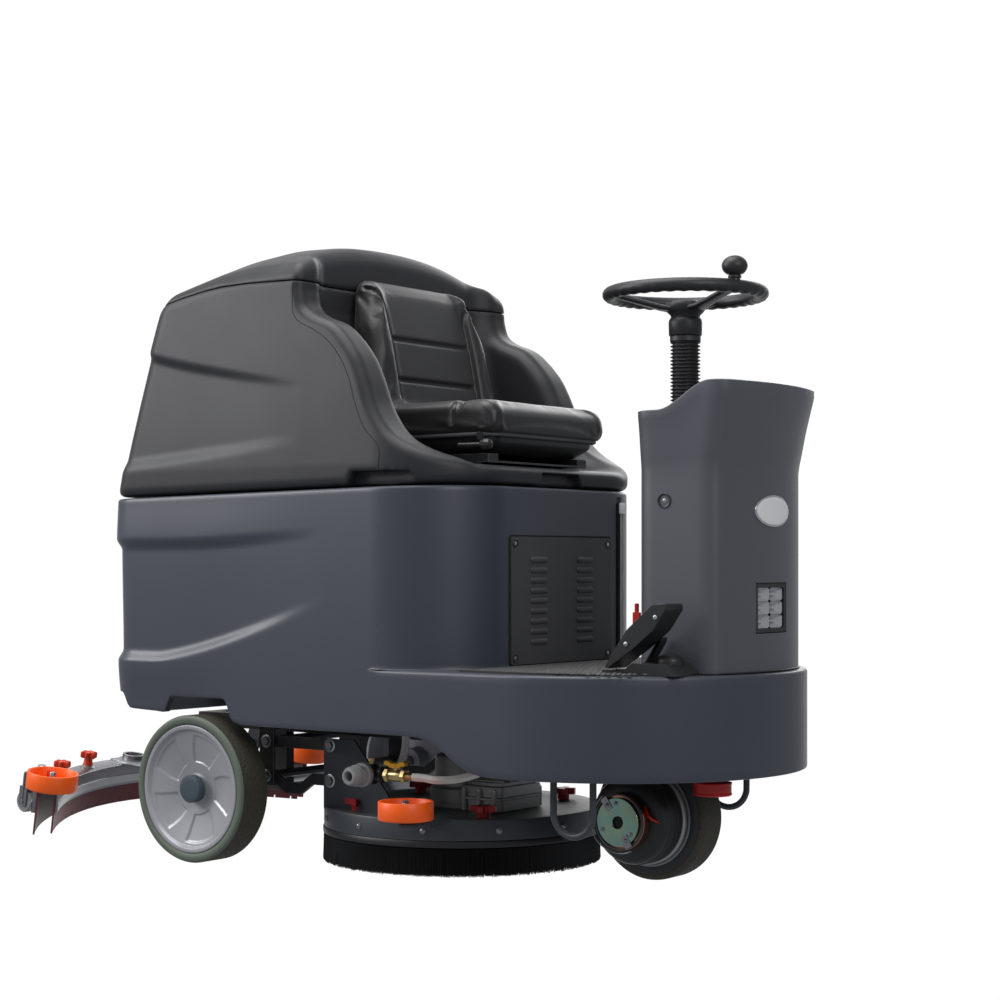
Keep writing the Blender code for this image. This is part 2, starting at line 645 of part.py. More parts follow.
def makeBrushDeck(paint, aluminium, bristle, rubber, orange):
    # housing: disc with a short skirt, plus side plates for the arms
    profile = [(0.030, 0.102), (0.278, 0.098), (0.278, 0.076), (BRUSH_DECK_R, 0.076), (BRUSH_DECK_R, 0.109),
               (0.030, 0.109)]
    deck = addObject("deck_housing", turned(profile, "Z", 28, closed=True), paint, (DECK_X, 0, 0))
    for side in (-1, 1):
        low, high = sorted((side * 0.2086, side * 0.2146))
        plate = filleted([(0.208, 0.105, 0), (0.400, 0.105, 0), (0.375, 0.150, 0.02), (0.290, 0.252, 0.014),
                          (0.208, 0.252, 0.012)], 3)
        plate = addObject("deck_plate_%d" % side, prism(plate, low, high, "Y"), paint)
        combine(deck, plate, "UNION")
    lug = box("roller_lug", (0.512, -0.365, 0.1085), (0.548, -0.245, 0.1155), paint)
    combine(deck, lug, "UNION")
    combine(deck, box("roller_lug_foot", (0.512, -0.262, 0.100), (0.548, -0.240, 0.115), paint), "UNION")
    post = addObject("roller_post", prism(disc(0.006, 8, (0.530, -0.345)), 0.112, 0.163), paint)
    combine(deck, post, "UNION")
    for level, extra in ((ARM_LOW_Z, 0.0008), (ARM_HIGH_Z, 0.0020)):
        hole = prism(disc(PIN_R + extra, 8), -0.3, 0.3, "Y")
        combine(deck, addObject("deck_hole", hole, paint, (ARM_FRONT_X, 0, level)))

    skirt = [(0.272, 0.003), (0.2775, 0.003), (0.2870, 0.062), (0.2870, 0.0755), (0.272, 0.0755)]
    skirt = addObject("deck_skirt", turned(skirt, "Z", 28, closed=True), rubber, (DECK_X, 0, 0))

    brush = [(0, 0.050), (0.095, 0.050), (0.110, 0.0005), (0.262, 0.0005), (0.240, 0.045), (0.215, 0.072),
             (0, 0.072)]
    brush = addObject("disc_brush", turned(brush, "Z", 28), bristle, (DECK_X, 0, 0))

    motor = [(0, 0.0725), (0.026, 0.0725), (0.026, 0.1095), (0.070, 0.1095), (0.070, 0.150), (0.060, 0.154),
             (0.060, 0.212), (0.052, 0.222), (0, 0.222)]
    motor = addObject("brush_motor", turned(motor, "Z", 18), aluminium, (DECK_X, 0, 0))
    gearbox = filleted([(0.450, -0.075, 0.012), (0.555, -0.075, 0.012), (0.555, 0.075, 0.012),
                        (0.450, 0.075, 0.012)], 2)
    combine(motor, addObject("gearbox_block", prism(gearbox, 0.1098, 0.168), aluminium), "UNION")

    ring = [(0.0070, 0.000), (0.053, 0.000), (0.053, 0.036), (0.048, 0.036), (0.046, 0.010),
            (0.0070, 0.010)]
    roller = addObject("deck_roller", turned(ring, "Z", 20, closed=True), orange, (0.530, -0.345, 0.1225))
    return deck, skirt, brush, motor, roller


def makeArm(name, level, paint):
    # two flat bars joined by a cross tube on the chassis pivot, with pins at both ends
    bars = None
    for side in (-1, 1):
        low, high = sorted((side * (ARM_Y - ARM_THICKNESS / 2), side * (ARM_Y + ARM_THICKNESS / 2)))
        drop = 0.022 if level == ARM_LOW_Z else 0.0
        outline = [(-0.014, -0.012), (0.014, -0.012), (0.045, -0.012 - drop), (0.090, -0.012 - drop),
                   (0.122, -0.012),
                   (0.190, -0.012), (0.190, 0.012), (0.122, 0.012), (0.090, 0.012 - drop),
                   (0.045, 0.012 - drop),
                   (0.014, 0.012), (-0.014, 0.012)]
        bar = addObject(name if bars is None else name + "_bar", prism(outline, low, high, "Y"), paint,
                        (ARM_REAR_X, 0, level))
        if bars is None:
            bars = bar
        else:
            combine(bars, bar, "UNION")
        for x in (0.0, ARM_FRONT_X - ARM_REAR_X):
            inner = ARM_Y
            low, high = sorted((side * inner, side * 0.2150))
            combine(bars, addObject("arm_pin", prism(disc(PIN_R, 8, (x, 0)), low, high, "Y"), paint,
                                    (ARM_REAR_X, 0, level)), "UNION")
            low, high = sorted((side * 0.2149, side * 0.2210))
            combine(bars, addObject("arm_bolt", prism(disc(0.010, 6, (x, 0)), low, high, "Y"), paint,
                                    (ARM_REAR_X, 0, level)), "UNION")
    cross = prism(disc(0.009, 8), -ARM_Y, ARM_Y, "Y")
    combine(bars, addObject(name + "_cross", cross, paint, (ARM_REAR_X, 0, level)), "UNION")
    return bars


# ---------------------------------------------------------------- water line on the right side

def makeWaterLine(grey, clear, brass, yellow, hose):
    y, z = -0.285, 0.197
    head = addObject("filter_head", turned([(0, 0.368), (0.013, 0.368), (0.013, 0.384), (0.020, 0.386),
                                            (0.020, 0.404),
                                            (0.013, 0.406), (0.013, 0.430), (0, 0.430)], "X", 12), grey,
                                            (0, y, z))
    branch = prism(disc(0.0105, 12, (0.395, z)), y - 0.020, y + 0.055, "Y")
    combine(head, addObject("filter_branch", branch, grey), "UNION")
    bowl = addObject("filter_bowl", turned([(0, 0.0), (0.024, 0.0), (0.024, 0.012), (0.019, 0.016),
                                            (0.019, 0.044),
                                            (0.014, 0.050), (0, 0.051)], "-Y", 14), clear,
                                            (0.395, y - 0.0205, z))
    valve = addObject("water_valve", turned([(0, 0.4305), (0.014, 0.4305), (0.014, 0.440), (0.010, 0.442),
                                             (0.010, 0.472),
                                             (0.013, 0.474), (0.013, 0.484), (0.007, 0.486),
                                             (0.007, 0.500), (0, 0.500)],
                                            "X", 12), brass, (0, y, z))
    combine(valve, addObject("valve_stem", prism(disc(0.0035, 8, (0.457, y)), z, z + 0.0225), brass),
            "UNION")
    handle = box("valve_handle", (0.4310, y - 0.0075, z + 0.0148), (0.4830, y + 0.0075, z + 0.0188), yellow)
    combine(handle, addObject("handle_hole", prism(disc(0.0042, 8, (0.457, y)), z + 0.005, z + 0.03),
                              yellow))
    for x in (0.4315, 0.4785):
        wing = box("handle_wing", (x, y - 0.0072, z + 0.0150), (x + 0.004, y + 0.0072, z + 0.030), yellow)
        combine(handle, wing, "UNION")
    front = tube("water_hose", [(0.5006, y, z), (0.530, y, z), (0.560, y, z - 0.002), (0.600, y + 0.02,
            z + 0.002),
                                (0.640, y + 0.05, z + 0.02), (0.660, y + 0.06, z + 0.05)], 0.0085, hose, 1)
    feed = tube("feed_hose", [(0.395, y + 0.0556, z), (0.395, y + 0.075, z + 0.002), (0.398, y + 0.092,
            z + 0.020),
                              (0.402, y + 0.098, z + 0.050), (0.402, y + 0.098, z + 0.0865)], 0.0085,
                              hose, 1)
    return head, bowl, valve, handle, front, feed


# ---------------------------------------------------------------- squeegee

def arcPoint(radius, y, back=0.0):
    return SQUEEGEE_REAR_X + SQUEEGEE_R - math.sqrt(radius * radius - y * y) + back


def arcBar(reach, section, step=0.12):
    # sweeps a closed (offset, height) section along the squeegee's curve; every bar shares the same
    # chords, so neighbours stay parallel
    end = math.asin(reach / SQUEEGEE_R)
    count = math.floor(end / step)
    part = (end - count * step) / step
    rings = []
    for near, far, share in [(-count, -count - 1, part)] + [(k, k, 0.0) for k in range(-count,
            count + 1)] + [
            (count, count + 1, part)]:
        ring = []
        for offset, height in section:
            radius = SQUEEGEE_R - offset
            x = lerp(math.cos(near * step), math.cos(far * step), share)
            y = lerp(math.sin(near * step), math.sin(far * step), share)
            ring.append((SQUEEGEE_REAR_X + SQUEEGEE_R - radius * x, radius * y, height))
        rings.append(ring)
    return ringMesh(rings)


def makeSqueegee(steel, rubber, orange):
    reach = SQUEEGEE_HALF
    section = [(-0.004, 0.093), (0.050, 0.093), (0.050, 0.044), (0.046, 0.044), (0.046, 0.088),
               (0.0045, 0.088),
               (0.0045, 0.044), (-0.004, 0.044)]
    channel = addObject("squeegee_channel", arcBar(reach, section), steel)
    section = [(0.0050, 0.0), (0.0090, 0.0), (0.0090, 0.0875), (0.0050, 0.0875)]
    rear = addObject("rear_blade", arcBar(reach + 0.010, section), rubber)
    section = [(0.0412, 0.002), (0.0455, 0.002), (0.0455, 0.0875), (0.0412, 0.0875)]
    front = addObject("front_blade", arcBar(reach - 0.002, section), rubber)

    # tongue that bolts to the swing pivot, and the suction spigot
    tip = SQUEEGEE_SWING_X + 0.030
    tongue = filleted([(-0.580, -0.060, 0), (tip, -0.028, 0.02), (tip, 0.028, 0.02), (-0.580, 0.060, 0)], 3)
    combine(channel, addObject("squeegee_tongue", prism(tongue, 0.0915, 0.0985), steel), "UNION")
    spigotX = SQUEEGEE_REAR_X + 0.0255
    combine(channel, addObject("nozzle", prism(disc(0.026, 16, (spigotX, 0)), 0.0905, 0.108), steel),
            "UNION")
    combine(channel, addObject("nozzle_bore", prism(disc(0.0197, 16, (spigotX, 0)), 0.050, 0.200), steel))
    combine(channel, addObject("swing_hole", prism(disc(0.0088, 8, (SQUEEGEE_SWING_X, 0)), 0.07, 0.12),
                               steel))

    parts = [channel, rear, front]
    for side, label in ((1, "left"), (-1, "right")):
        y = side * 0.410
        x = arcPoint(SQUEEGEE_R - 0.025, side * 0.398, 0.018)
        low, high = sorted((side * 0.385, side * 0.4100))
        lug = box("roller_arm_%s" % label, (x - 0.052, low, 0.0912), (x + 0.008, high, 0.0985), steel)
        combine(channel, lug, "UNION")
        post = addObject("squeegee_post_%s" % label,
                         prism(disc(0.005, 8, (x, y - side * 0.006)), 0.0945, 0.138), steel)
        combine(channel, post, "UNION")
        ring = [(0.0060, 0.000), (0.0545, 0.000), (0.0545, 0.037), (0.0495, 0.037), (0.0475, 0.010),
                (0.0060, 0.010)]
        ring = turned(ring, "Z", 20, closed=True)
        parts.append(addObject("squeegee_roller_%s" % label, ring, orange, (x, y - side * 0.006, 0.1005)))
        # stop castor on a bent strap behind the channel
        cx, cy = arcPoint(SQUEEGEE_R - 0.025, side * 0.320, 0.0), side * 0.320
        low, high = sorted((cy - 0.016, cy + 0.016))
        strap = [(cx + 0.020, 0.0914), (cx + 0.020, 0.0965), (cx - 0.089, 0.0965), (cx - 0.089, 0.030),
                 (cx - 0.084, 0.030), (cx - 0.084, 0.0914)]
        combine(channel, addObject("castor_strap_%s" % label, prism(strap, low, high, "Y"), steel), "UNION")
    return parts


def makeLiftArm(paint):
    # forked arm from the frame ears to the squeegee swing pivot
    side = [(SQUEEGEE_HINGE_X + 0.012, SQUEEGEE_HINGE_Z + 0.012),
            (SQUEEGEE_HINGE_X - 0.012, SQUEEGEE_HINGE_Z + 0.012),
            (SQUEEGEE_SWING_X - 0.030, 0.121), (SQUEEGEE_SWING_X - 0.030, 0.101),
            (SQUEEGEE_SWING_X + 0.030, 0.101),
            (SQUEEGEE_HINGE_X + 0.012, SQUEEGEE_HINGE_Z - 0.014)]
    arm = addObject("squeegee_lift_arm", prism(side, -0.0390, 0.0390, "Y"), paint)
    slot = box("arm_slot", (SQUEEGEE_SWING_X - 0.10, -0.031, 0.108),
               (SQUEEGEE_HINGE_X + 0.10, 0.031, 0.30), paint)
    combine(arm, slot)
    pivot = prism(disc(0.0050, 8), -0.0540, 0.0540, "Y")
    combine(arm, addObject("lift_pin", pivot, paint, (SQUEEGEE_HINGE_X, 0, SQUEEGEE_HINGE_Z)), "UNION")
    stub = prism(disc(0.0080, 8, (SQUEEGEE_SWING_X, 0)), 0.088, 0.104)
    combine(arm, addObject("swing_pin", stub, paint), "UNION")
    return arm


def raiseSqueegee(parts):
    # the whole squeegee is carried a few degrees above the floor
    carrier = bpy.data.objects.new("squeegee_carrier", None)
    bpy.context.collection.objects.link(carrier)
    pivot = Vector((SQUEEGEE_HINGE_X, 0, SQUEEGEE_HINGE_Z))
    carrier.location = pivot
    for made in parts:
        made.parent = carrier
        made.matrix_parent_inverse = Matrix.Translation(-pivot)
        for step in made.modifiers:
            if step.type == "BOOLEAN":
                step.object.parent = carrier
                step.object.matrix_parent_inverse = Matrix.Translation(-pivot)
    carrier.rotation_euler = (0, SQUEEGEE_RAISED, 0)


# ---------------------------------------------------------------- recovery tank, lid and seat

TANK_SIDE = [(-0.260, 0.7455), (-0.247, 0.808), (-0.212, 0.940), (-0.176, 1.069), (-0.1535, 1.1390)]
SEAM = [(-0.1535, 1.1390), (0.052, 1.1715), (0.2580, 1.1685)]
WING = [(0.266, 1.130), (0.300, 1.095), (0.354, 1.074), (0.406, 1.022), (0.431, 0.972), (0.462, 0.903),
        (0.507, 0.853),
        (0.581, 0.819), (0.655, 0.802)]


def seamZ(x):
    for (x0, z0), (x1, z1) in zip(SEAM, SEAM[1:]):
        if x <= x1:
            return lerp(z0, z1, (x - x0) / (x1 - x0))
    return SEAM[-1][1]


def makeRecoveryTank(shell):
    front = BODY_FRONT + 0.02
    side = [(-0.2605, splitZ(-0.2605) + 0.0010)] + TANK_SIDE[1:] + SEAM[1:] + WING[:-1]
    side += [(front, 0.801), (front, splitZ(front) + 0.0010)]
    tank = addObject("recovery_tank", prism(side, -0.45, 0.45, "Y"), shell)
    rings = []
    for z, half in ((0.70, 0.3725), (0.80, 0.3700), (1.25, 0.3400)):
        rings.append([(x, y, z) for x, y in bodyPlan(half, 0.003)])
    combine(tank, addObject("tank_plan", ringMesh(rings), shell), "INTERSECT")
    recess = [(0.70, 0.806), (0.325, 0.806), (0.290, 0.850), (0.225, 1.120), (0.225, 1.30), (0.70, 1.30)]
    combine(tank, addObject("seat_recess", prism(recess, -0.272, 0.272, "Y"), shell))
    combine(tank, box("tank_well", (-0.135, -0.285, 0.800), (0.070, 0.285, 1.30), shell))
    combine(tank, addObject("vacuum_well", prism(disc(0.057, 16, (0.148, 0)), 1.020, 1.30), shell))
    for side in (-1, 1):
        low, high = sorted((side * 0.345, side * 0.40))
        notch = prism([(0.395, 0.70), (0.565, 0.70), (0.545, 0.785), (0.415, 0.785)], low, high, "Y")
        combine(tank, addObject("side_grip_%d" % side, notch, shell))
    notch = prism([(-0.080, 0.70), (0.080, 0.70), (0.064, 0.786), (-0.064, 0.786)], 0.615, 0.70, "X")
    combine(tank, addObject("front_grip", notch, shell))
    return tank


def makeLid(shell):
    stations = ((-0.1535, 1.143, 1.165, 0.3490), (-0.100, 1.157, 1.222, 0.3470),
                (0.0, 1.176, 1.268, 0.3450),
                (0.052, 1.184, 1.281, 0.3450), (0.120, 1.192, 1.286, 0.3450), (0.222, 1.202, 1.274, 0.3450))
    rings = []
    for x, edge, crown, half in stations:
        ring = []
        for step in range(13):
            y = lerp(-half, half, step / 12)
            ring.append((x, y, edge + (crown - edge) * (1 - abs(y / half) ** 2.4)))
        for y in (half, -half):
            ring.append((x, y, seamZ(x) + 0.0008))
        rings.append(ring)
    lid = addObject("tank_lid", ringMesh(rings), shell)
    hollow = box("lid_hollow", (-0.060, -0.260, 1.10), (0.205, 0.260, 1.188), shell)
    combine(lid, hollow)
    return lid


def makeVacuumMotor(black):
    profile = [(0, 1.0204), (0.052, 1.0204), (0.052, 1.070), (0.044, 1.076), (0.044, 1.120),
               (0.030, 1.132), (0, 1.134)]
    return addObject("vacuum_motor", turned(profile, "Z", 14), black, (0.148, 0, 0))


def makeSeat(leather, steel, plastic):
    cushion = [(0.345, 0.866, 0.02), (0.620, 0.862, 0.02), (0.640, 0.886, 0.015), (0.622, 0.925, 0.02),
               (0.380, 0.922, 0.02)]
    cushion = addObject("seat_cushion", prism(filleted(cushion, 3), -SEAT_HALF, SEAT_HALF, "Y"), leather)
    outline = filleted([(-0.205, 0.872, 0.03), (0.205, 0.872, 0.03), (0.170, 1.080, 0.05),
                        (0.145, 1.200, 0.05),
                        (-0.145, 1.200, 0.05), (-0.170, 1.080, 0.05)], 4)
    rings = []
    for thickness in (0.0, 0.055):
        ring = []
        for y, z in outline:
            lean = 0.300 - 0.205 * (z - 0.872)
            ring.append((lean + thickness * (1.0 - 0.25 * (z - 0.872) / 0.328), y, z))
        rings.append(ring)
    back = addObject("seat_back", ringMesh(rings), leather)
    combine(back, box("cushion_room", (0.3447, -0.30, 0.80), (0.50, 0.30, 0.9225), leather))
    pan = box("seat_pan", (0.330, -0.185, 0.8440), (0.615, 0.185, 0.8612), steel)
    for side in (-1, 1):
        low, high = sorted((side * 0.142, side * 0.166))
        combine(pan, box("pan_rail_%d" % side, (0.340, low, 0.8240), (0.590, high, 0.8445), steel), "UNION")
    rails = box("seat_rails", (0.345, -0.170, 0.8064), (0.380, 0.170, 0.8100), steel)
    combine(rails, box("rail_tie", (0.560, -0.170, 0.8064), (0.595, 0.170, 0.8100), steel), "UNION")
    for side in (-1, 1):
        low, high = sorted((side * 0.138, side * 0.170))
        combine(rails, box("rail_%d" % side, (0.3455, low, 0.8068), (0.5945, high, 0.8235), steel), "UNION")
    lever = rod("seat_lever", (0.560, -0.1670, 0.8380), (0.560, -0.2190, 0.8380), 0.005, plastic, 10)
    handle = addObject("lever_handle", turned([(0, 0), (0.004, 0), (0.004, 0.052), (0.009, 0.056), (0.011,
            0.066), (0.009, 0.076),
                                               (0, 0.080)], "X", 10), plastic, (0.560, -0.2190, 0.8380))
    combine(lever, handle, "UNION")
    return cushion, back, pan, rails, lever


def main():
    clearScene()
    lowerPaint = finish("body_blue_grey", (0.056, 0.065, 0.082), 0.42)
    tankPaint = finish("tank_charcoal", (0.046, 0.047, 0.051), 0.45)
    panelGrey = finish("panel_charcoal", (0.040, 0.041, 0.044), 0.5)
    framePaint = finish("frame_paint", (0.070, 0.080, 0.095), 0.5)
    steel = finish("zinc_steel", (0.55, 0.55, 0.56), 0.35, 1.0)
    stainless = finish("stainless", (0.62, 0.62, 0.63), 0.28, 1.0)
    chrome = finish("chrome", (0.80, 0.80, 0.80), 0.12, 1.0)
    brass = finish("brass", (0.62, 0.58, 0.48), 0.3, 1.0)
    cast = finish("cast_aluminium", (0.60, 0.60, 0.61), 0.45, 1.0)
    black = finish("black_plastic", (0.012, 0.012, 0.013), 0.45)
    rubber = finish("black_rubber", (0.015, 0.015, 0.015), 0.7)
    leather = finish("seat_leather", (0.014, 0.014, 0.016), 0.38)
    clear = finish("clear_plastic", (0.82, 0.84, 0.86), 0.15)
    hose = finish("hose_white", (0.78, 0.78, 0.76), 0.35)
    orange = finish("orange_polyurethane", (0.95, 0.13, 0.02), 0.4)
    red = finish("red_plastic", (0.55, 0.01, 0.01), 0.35)
    yellow = finish("yellow_plastic", (0.85, 0.50, 0.02), 0.4)
    blade = finish("blade_rubber", (0.20, 0.045, 0.055), 0.5)
    tyre = finish("tyre_green", (0.10, 0.125, 0.10), 0.6)
    driveTyre = finish("drive_tyre", (0.05, 0.045, 0.04), 0.7)
    rim = finish("rim_grey", (0.58, 0.58, 0.61), 0.35)
    bristle = finish("bristle", (0.010, 0.010, 0.010), 0.8)

    makeLowerBody(lowerPaint)
    makeFrame(framePaint)
    makeRearAxle(steel)
    makeBattery(black)
    makeVentPanel(panelGrey)
    makeFootMat(rubber)
    makeLevelTube(clear)

    makeColumn(lowerPaint)
    makeDash(panelGrey)
    makeIgnitionKey(chrome)
    makeBrushSwitch(black)
    makeHeadlight(black, clear)
    makeIsolator(red)
    makeColumnTube(steel)
    makeBellows(rubber)
    makeSteeringWheel(rubber)
    makeSpinnerKnob(black)
    makeSteeringShaft(steel)
    makeChain(steel)

    makeDriveUnit(cast, black, chrome, driveTyre)
    makeGuardBars(framePaint)
    makeHorn(red)
    makePedals(black, black)
    for label, side in (("left", 1), ("right", -1)):
        makeRearWheel(label, side, tyre, rim)

    makeBrushDeck(framePaint, cast, bristle, rubber, orange)
    makeArm("upper_arm", ARM_HIGH_Z, framePaint)
    makeArm("lower_arm", ARM_LOW_Z, framePaint)
    makeWaterLine(black, clear, brass, yellow, hose)

    parts = makeSqueegee(stainless, blade, orange)
    parts.append(makeLiftArm(framePaint))
    raiseSqueegee(parts)

    makeRecoveryTank(tankPaint)
    makeLid(tankPaint)
    makeVacuumMotor(black)
    makeSeat(leather, steel, black)

    for made in bpy.data.objects:
        if made.parent is None:
            made.location.x -= CENTRE_X


main()
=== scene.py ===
# Ride-on floor scrubber: the visible machine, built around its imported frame

import math
import random

import bmesh
import bpy
import numpy as np
from mathutils import Matrix, Vector
from mathutils.bvhtree import BVHTree


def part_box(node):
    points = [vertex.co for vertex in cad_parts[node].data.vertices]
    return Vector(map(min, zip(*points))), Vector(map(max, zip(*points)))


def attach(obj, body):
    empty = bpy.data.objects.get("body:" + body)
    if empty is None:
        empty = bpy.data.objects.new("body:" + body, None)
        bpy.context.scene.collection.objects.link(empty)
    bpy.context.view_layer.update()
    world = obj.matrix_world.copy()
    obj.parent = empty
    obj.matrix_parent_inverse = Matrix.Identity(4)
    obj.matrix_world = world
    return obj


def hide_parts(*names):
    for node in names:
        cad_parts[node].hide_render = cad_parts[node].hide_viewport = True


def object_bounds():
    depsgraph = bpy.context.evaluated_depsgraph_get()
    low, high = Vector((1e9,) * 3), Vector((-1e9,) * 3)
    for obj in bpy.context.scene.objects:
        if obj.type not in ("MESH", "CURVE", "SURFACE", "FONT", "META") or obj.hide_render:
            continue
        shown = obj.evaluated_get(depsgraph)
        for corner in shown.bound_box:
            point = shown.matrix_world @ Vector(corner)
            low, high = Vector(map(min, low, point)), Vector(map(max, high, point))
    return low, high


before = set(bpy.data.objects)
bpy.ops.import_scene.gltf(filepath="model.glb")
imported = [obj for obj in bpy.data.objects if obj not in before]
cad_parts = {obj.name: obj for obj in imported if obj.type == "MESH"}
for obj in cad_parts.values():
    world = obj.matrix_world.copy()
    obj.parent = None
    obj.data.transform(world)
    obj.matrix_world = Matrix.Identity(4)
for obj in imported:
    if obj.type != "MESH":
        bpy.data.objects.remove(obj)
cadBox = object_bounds()
print("frame loaded")

axleLow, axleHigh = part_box("rear_axle")
originX = (axleLow.x + axleHigh.x) / 2  # shapes are drawn from the rear axle, then moved here
axleZ = (axleLow.z + axleHigh.z) / 2


def spot(node):
    # a node's box, measured from the rear axle
    low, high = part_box(node)
    shift = Vector((originX, 0, 0))
    return low - shift, high - shift


def middle(node):
    low, high = spot(node)
    return (low + high) / 2


def lerp(a, b, t):
    return a + (b - a) * t


def ease(start, end, value):
    t = max(0.0, min(1.0, (value - start) / (end - start)))
    return t * t * (3 - 2 * t)


# Shared effects, each built once and placed in the materials with its own values

def newGroup(name, inputs, outputs):
    group = bpy.data.node_groups.new(name, "ShaderNodeTree")
    for label, kind, value in inputs:
        socket = group.interface.new_socket(name=label, in_out="INPUT", socket_type=kind)
        socket.default_value = value
    for label, kind in outputs:
        group.interface.new_socket(name=label, in_out="OUTPUT", socket_type=kind)
    return group, group.nodes.new("NodeGroupInput"), group.nodes.new("NodeGroupOutput")


def mathNode(tree, operation, first, second=0.5, clamp=False):
    made = tree.nodes.new("ShaderNodeMath")
    made.operation = operation
    made.use_clamp = clamp
    for socket, value in zip(made.inputs, (first, second)):
        if hasattr(value, "is_output"):
            tree.links.new(value, socket)
        else:
            socket.default_value = value
    return made.outputs[0]


def noiseNode(tree, scale, detail=3.0, rough=0.55, stretch=None):
    place = tree.nodes.new("ShaderNodeTexCoord").outputs["Object"]
    if stretch:
        squeeze = tree.nodes.new("ShaderNodeMapping")
        squeeze.inputs["Scale"].default_value = stretch
        tree.links.new(place, squeeze.inputs["Vector"])
        place = squeeze.outputs[0]
    made = tree.nodes.new("ShaderNodeTexNoise")
    tree.links.new(place, made.inputs["Vector"])
    made.inputs["Detail"].default_value = detail
    made.inputs["Roughness"].default_value = rough
    if hasattr(scale, "is_output"):
        tree.links.new(scale, made.inputs["Scale"])
    else:
        made.inputs["Scale"].default_value = scale
    return made.outputs["Fac"]


def makeTone():
    # drifts slowly between a colour and its shade, with fine flecks
    group, start, end = newGroup("toneDrift", [("Colour", "NodeSocketColor", (0.5, 0.5, 0.5, 1)),
            ("Shade", "NodeSocketColor", (0.3, 0.3, 0.3, 1)), ("Scale", "NodeSocketFloat", 3.0),
            ("Fleck Scale", "NodeSocketFloat", 900.0), ("Fleck", "NodeSocketFloat", 0.2)],
            [("Colour", "NodeSocketColor"), ("Mask", "NodeSocketFloat")])
    slow = noiseNode(group, start.outputs["Scale"], 4.0)
    fast = noiseNode(group, start.outputs["Fleck Scale"], 2.0)
    flecks = mathNode(group, "MULTIPLY", mathNode(group, "SUBTRACT", fast, 0.5), start.outputs["Fleck"])
    mask = mathNode(group, "ADD", slow, flecks, True)
    mix = group.nodes.new("ShaderNodeMix")
    mix.data_type = "RGBA"
    group.links.new(mask, mix.inputs["Factor"])
    group.links.new(start.outputs["Colour"], mix.inputs["A"])
    group.links.new(start.outputs["Shade"], mix.inputs["B"])
    group.links.new(mix.outputs["Result"], end.inputs["Colour"])
    group.links.new(mask, end.inputs["Mask"])
    return group


def makeGrain():
    # pebbled grain of moulded plastic, leather or cast metal
    group, start, end = newGroup("pebbleGrain", [("Scale", "NodeSocketFloat", 600.0),
            ("Pebble", "NodeSocketFloat", 0.5)], [("Height", "NodeSocketFloat")])
    cells = group.nodes.new("ShaderNodeTexVoronoi")
    group.links.new(group.nodes.new("ShaderNodeTexCoord").outputs["Object"], cells.inputs["Vector"])
    group.links.new(start.outputs["Scale"], cells.inputs["Scale"])
    soft = noiseNode(group, start.outputs["Scale"], 3.0)
    pebbles = mathNode(group, "MULTIPLY", cells.outputs["Distance"], start.outputs["Pebble"])
    group.links.new(mathNode(group, "ADD", soft, pebbles), end.inputs["Height"])
    return group


def makeWear():
    # scuffed mask along outside edges
    group, start, end = newGroup("edgeScuff", [("Radius", "NodeSocketFloat", 0.002),
            ("Amount", "NodeSocketFloat", 0.5)], [("Mask", "NodeSocketFloat")])
    rounded = group.nodes.new("ShaderNodeBevel")
    rounded.samples = 3
    group.links.new(start.outputs["Radius"], rounded.inputs["Radius"])
    true = group.nodes.new("ShaderNodeNewGeometry").outputs["Normal"]
    match = group.nodes.new("ShaderNodeVectorMath")
    match.operation = "DOT_PRODUCT"
    group.links.new(rounded.outputs[0], match.inputs[0])
    group.links.new(true, match.inputs[1])
    turn = mathNode(group, "SUBTRACT", 1.0, match.outputs["Value"])
    patchy = mathNode(group, "MULTIPLY", turn, mathNode(group, "MULTIPLY", noiseNode(group, 60.0), 6.0))
    group.links.new(mathNode(group, "MULTIPLY", patchy, start.outputs["Amount"], True), end.inputs["Mask"])
    return group


def makeDust():
    # thin dust that settles on faces that look up
    group, start, end = newGroup("settledDust", [("Amount", "NodeSocketFloat", 0.2),
            ("Scale", "NodeSocketFloat", 25.0)], [("Mask", "NodeSocketFloat")])
    split = group.nodes.new("ShaderNodeSeparateXYZ")
    group.links.new(group.nodes.new("ShaderNodeNewGeometry").outputs["Normal"], split.inputs[0])
    upward = mathNode(group, "MULTIPLY", mathNode(group, "MAXIMUM", split.outputs["Z"], 0.12),
            start.outputs["Amount"])
    cloudy = noiseNode(group, start.outputs["Scale"], 5.0, 0.65)
    group.links.new(mathNode(group, "MULTIPLY", upward, cloudy, True), end.inputs["Mask"])
    return group


groups = {"tone": makeTone(), "grain": makeGrain(), "wear": makeWear(), "dust": makeDust()}


def placeGroup(tree, kind, values):
    made = tree.nodes.new("ShaderNodeGroup")
    made.node_tree = groups[kind]
    for label, value in values.items():
        made.inputs[label].default_value = value
    return made


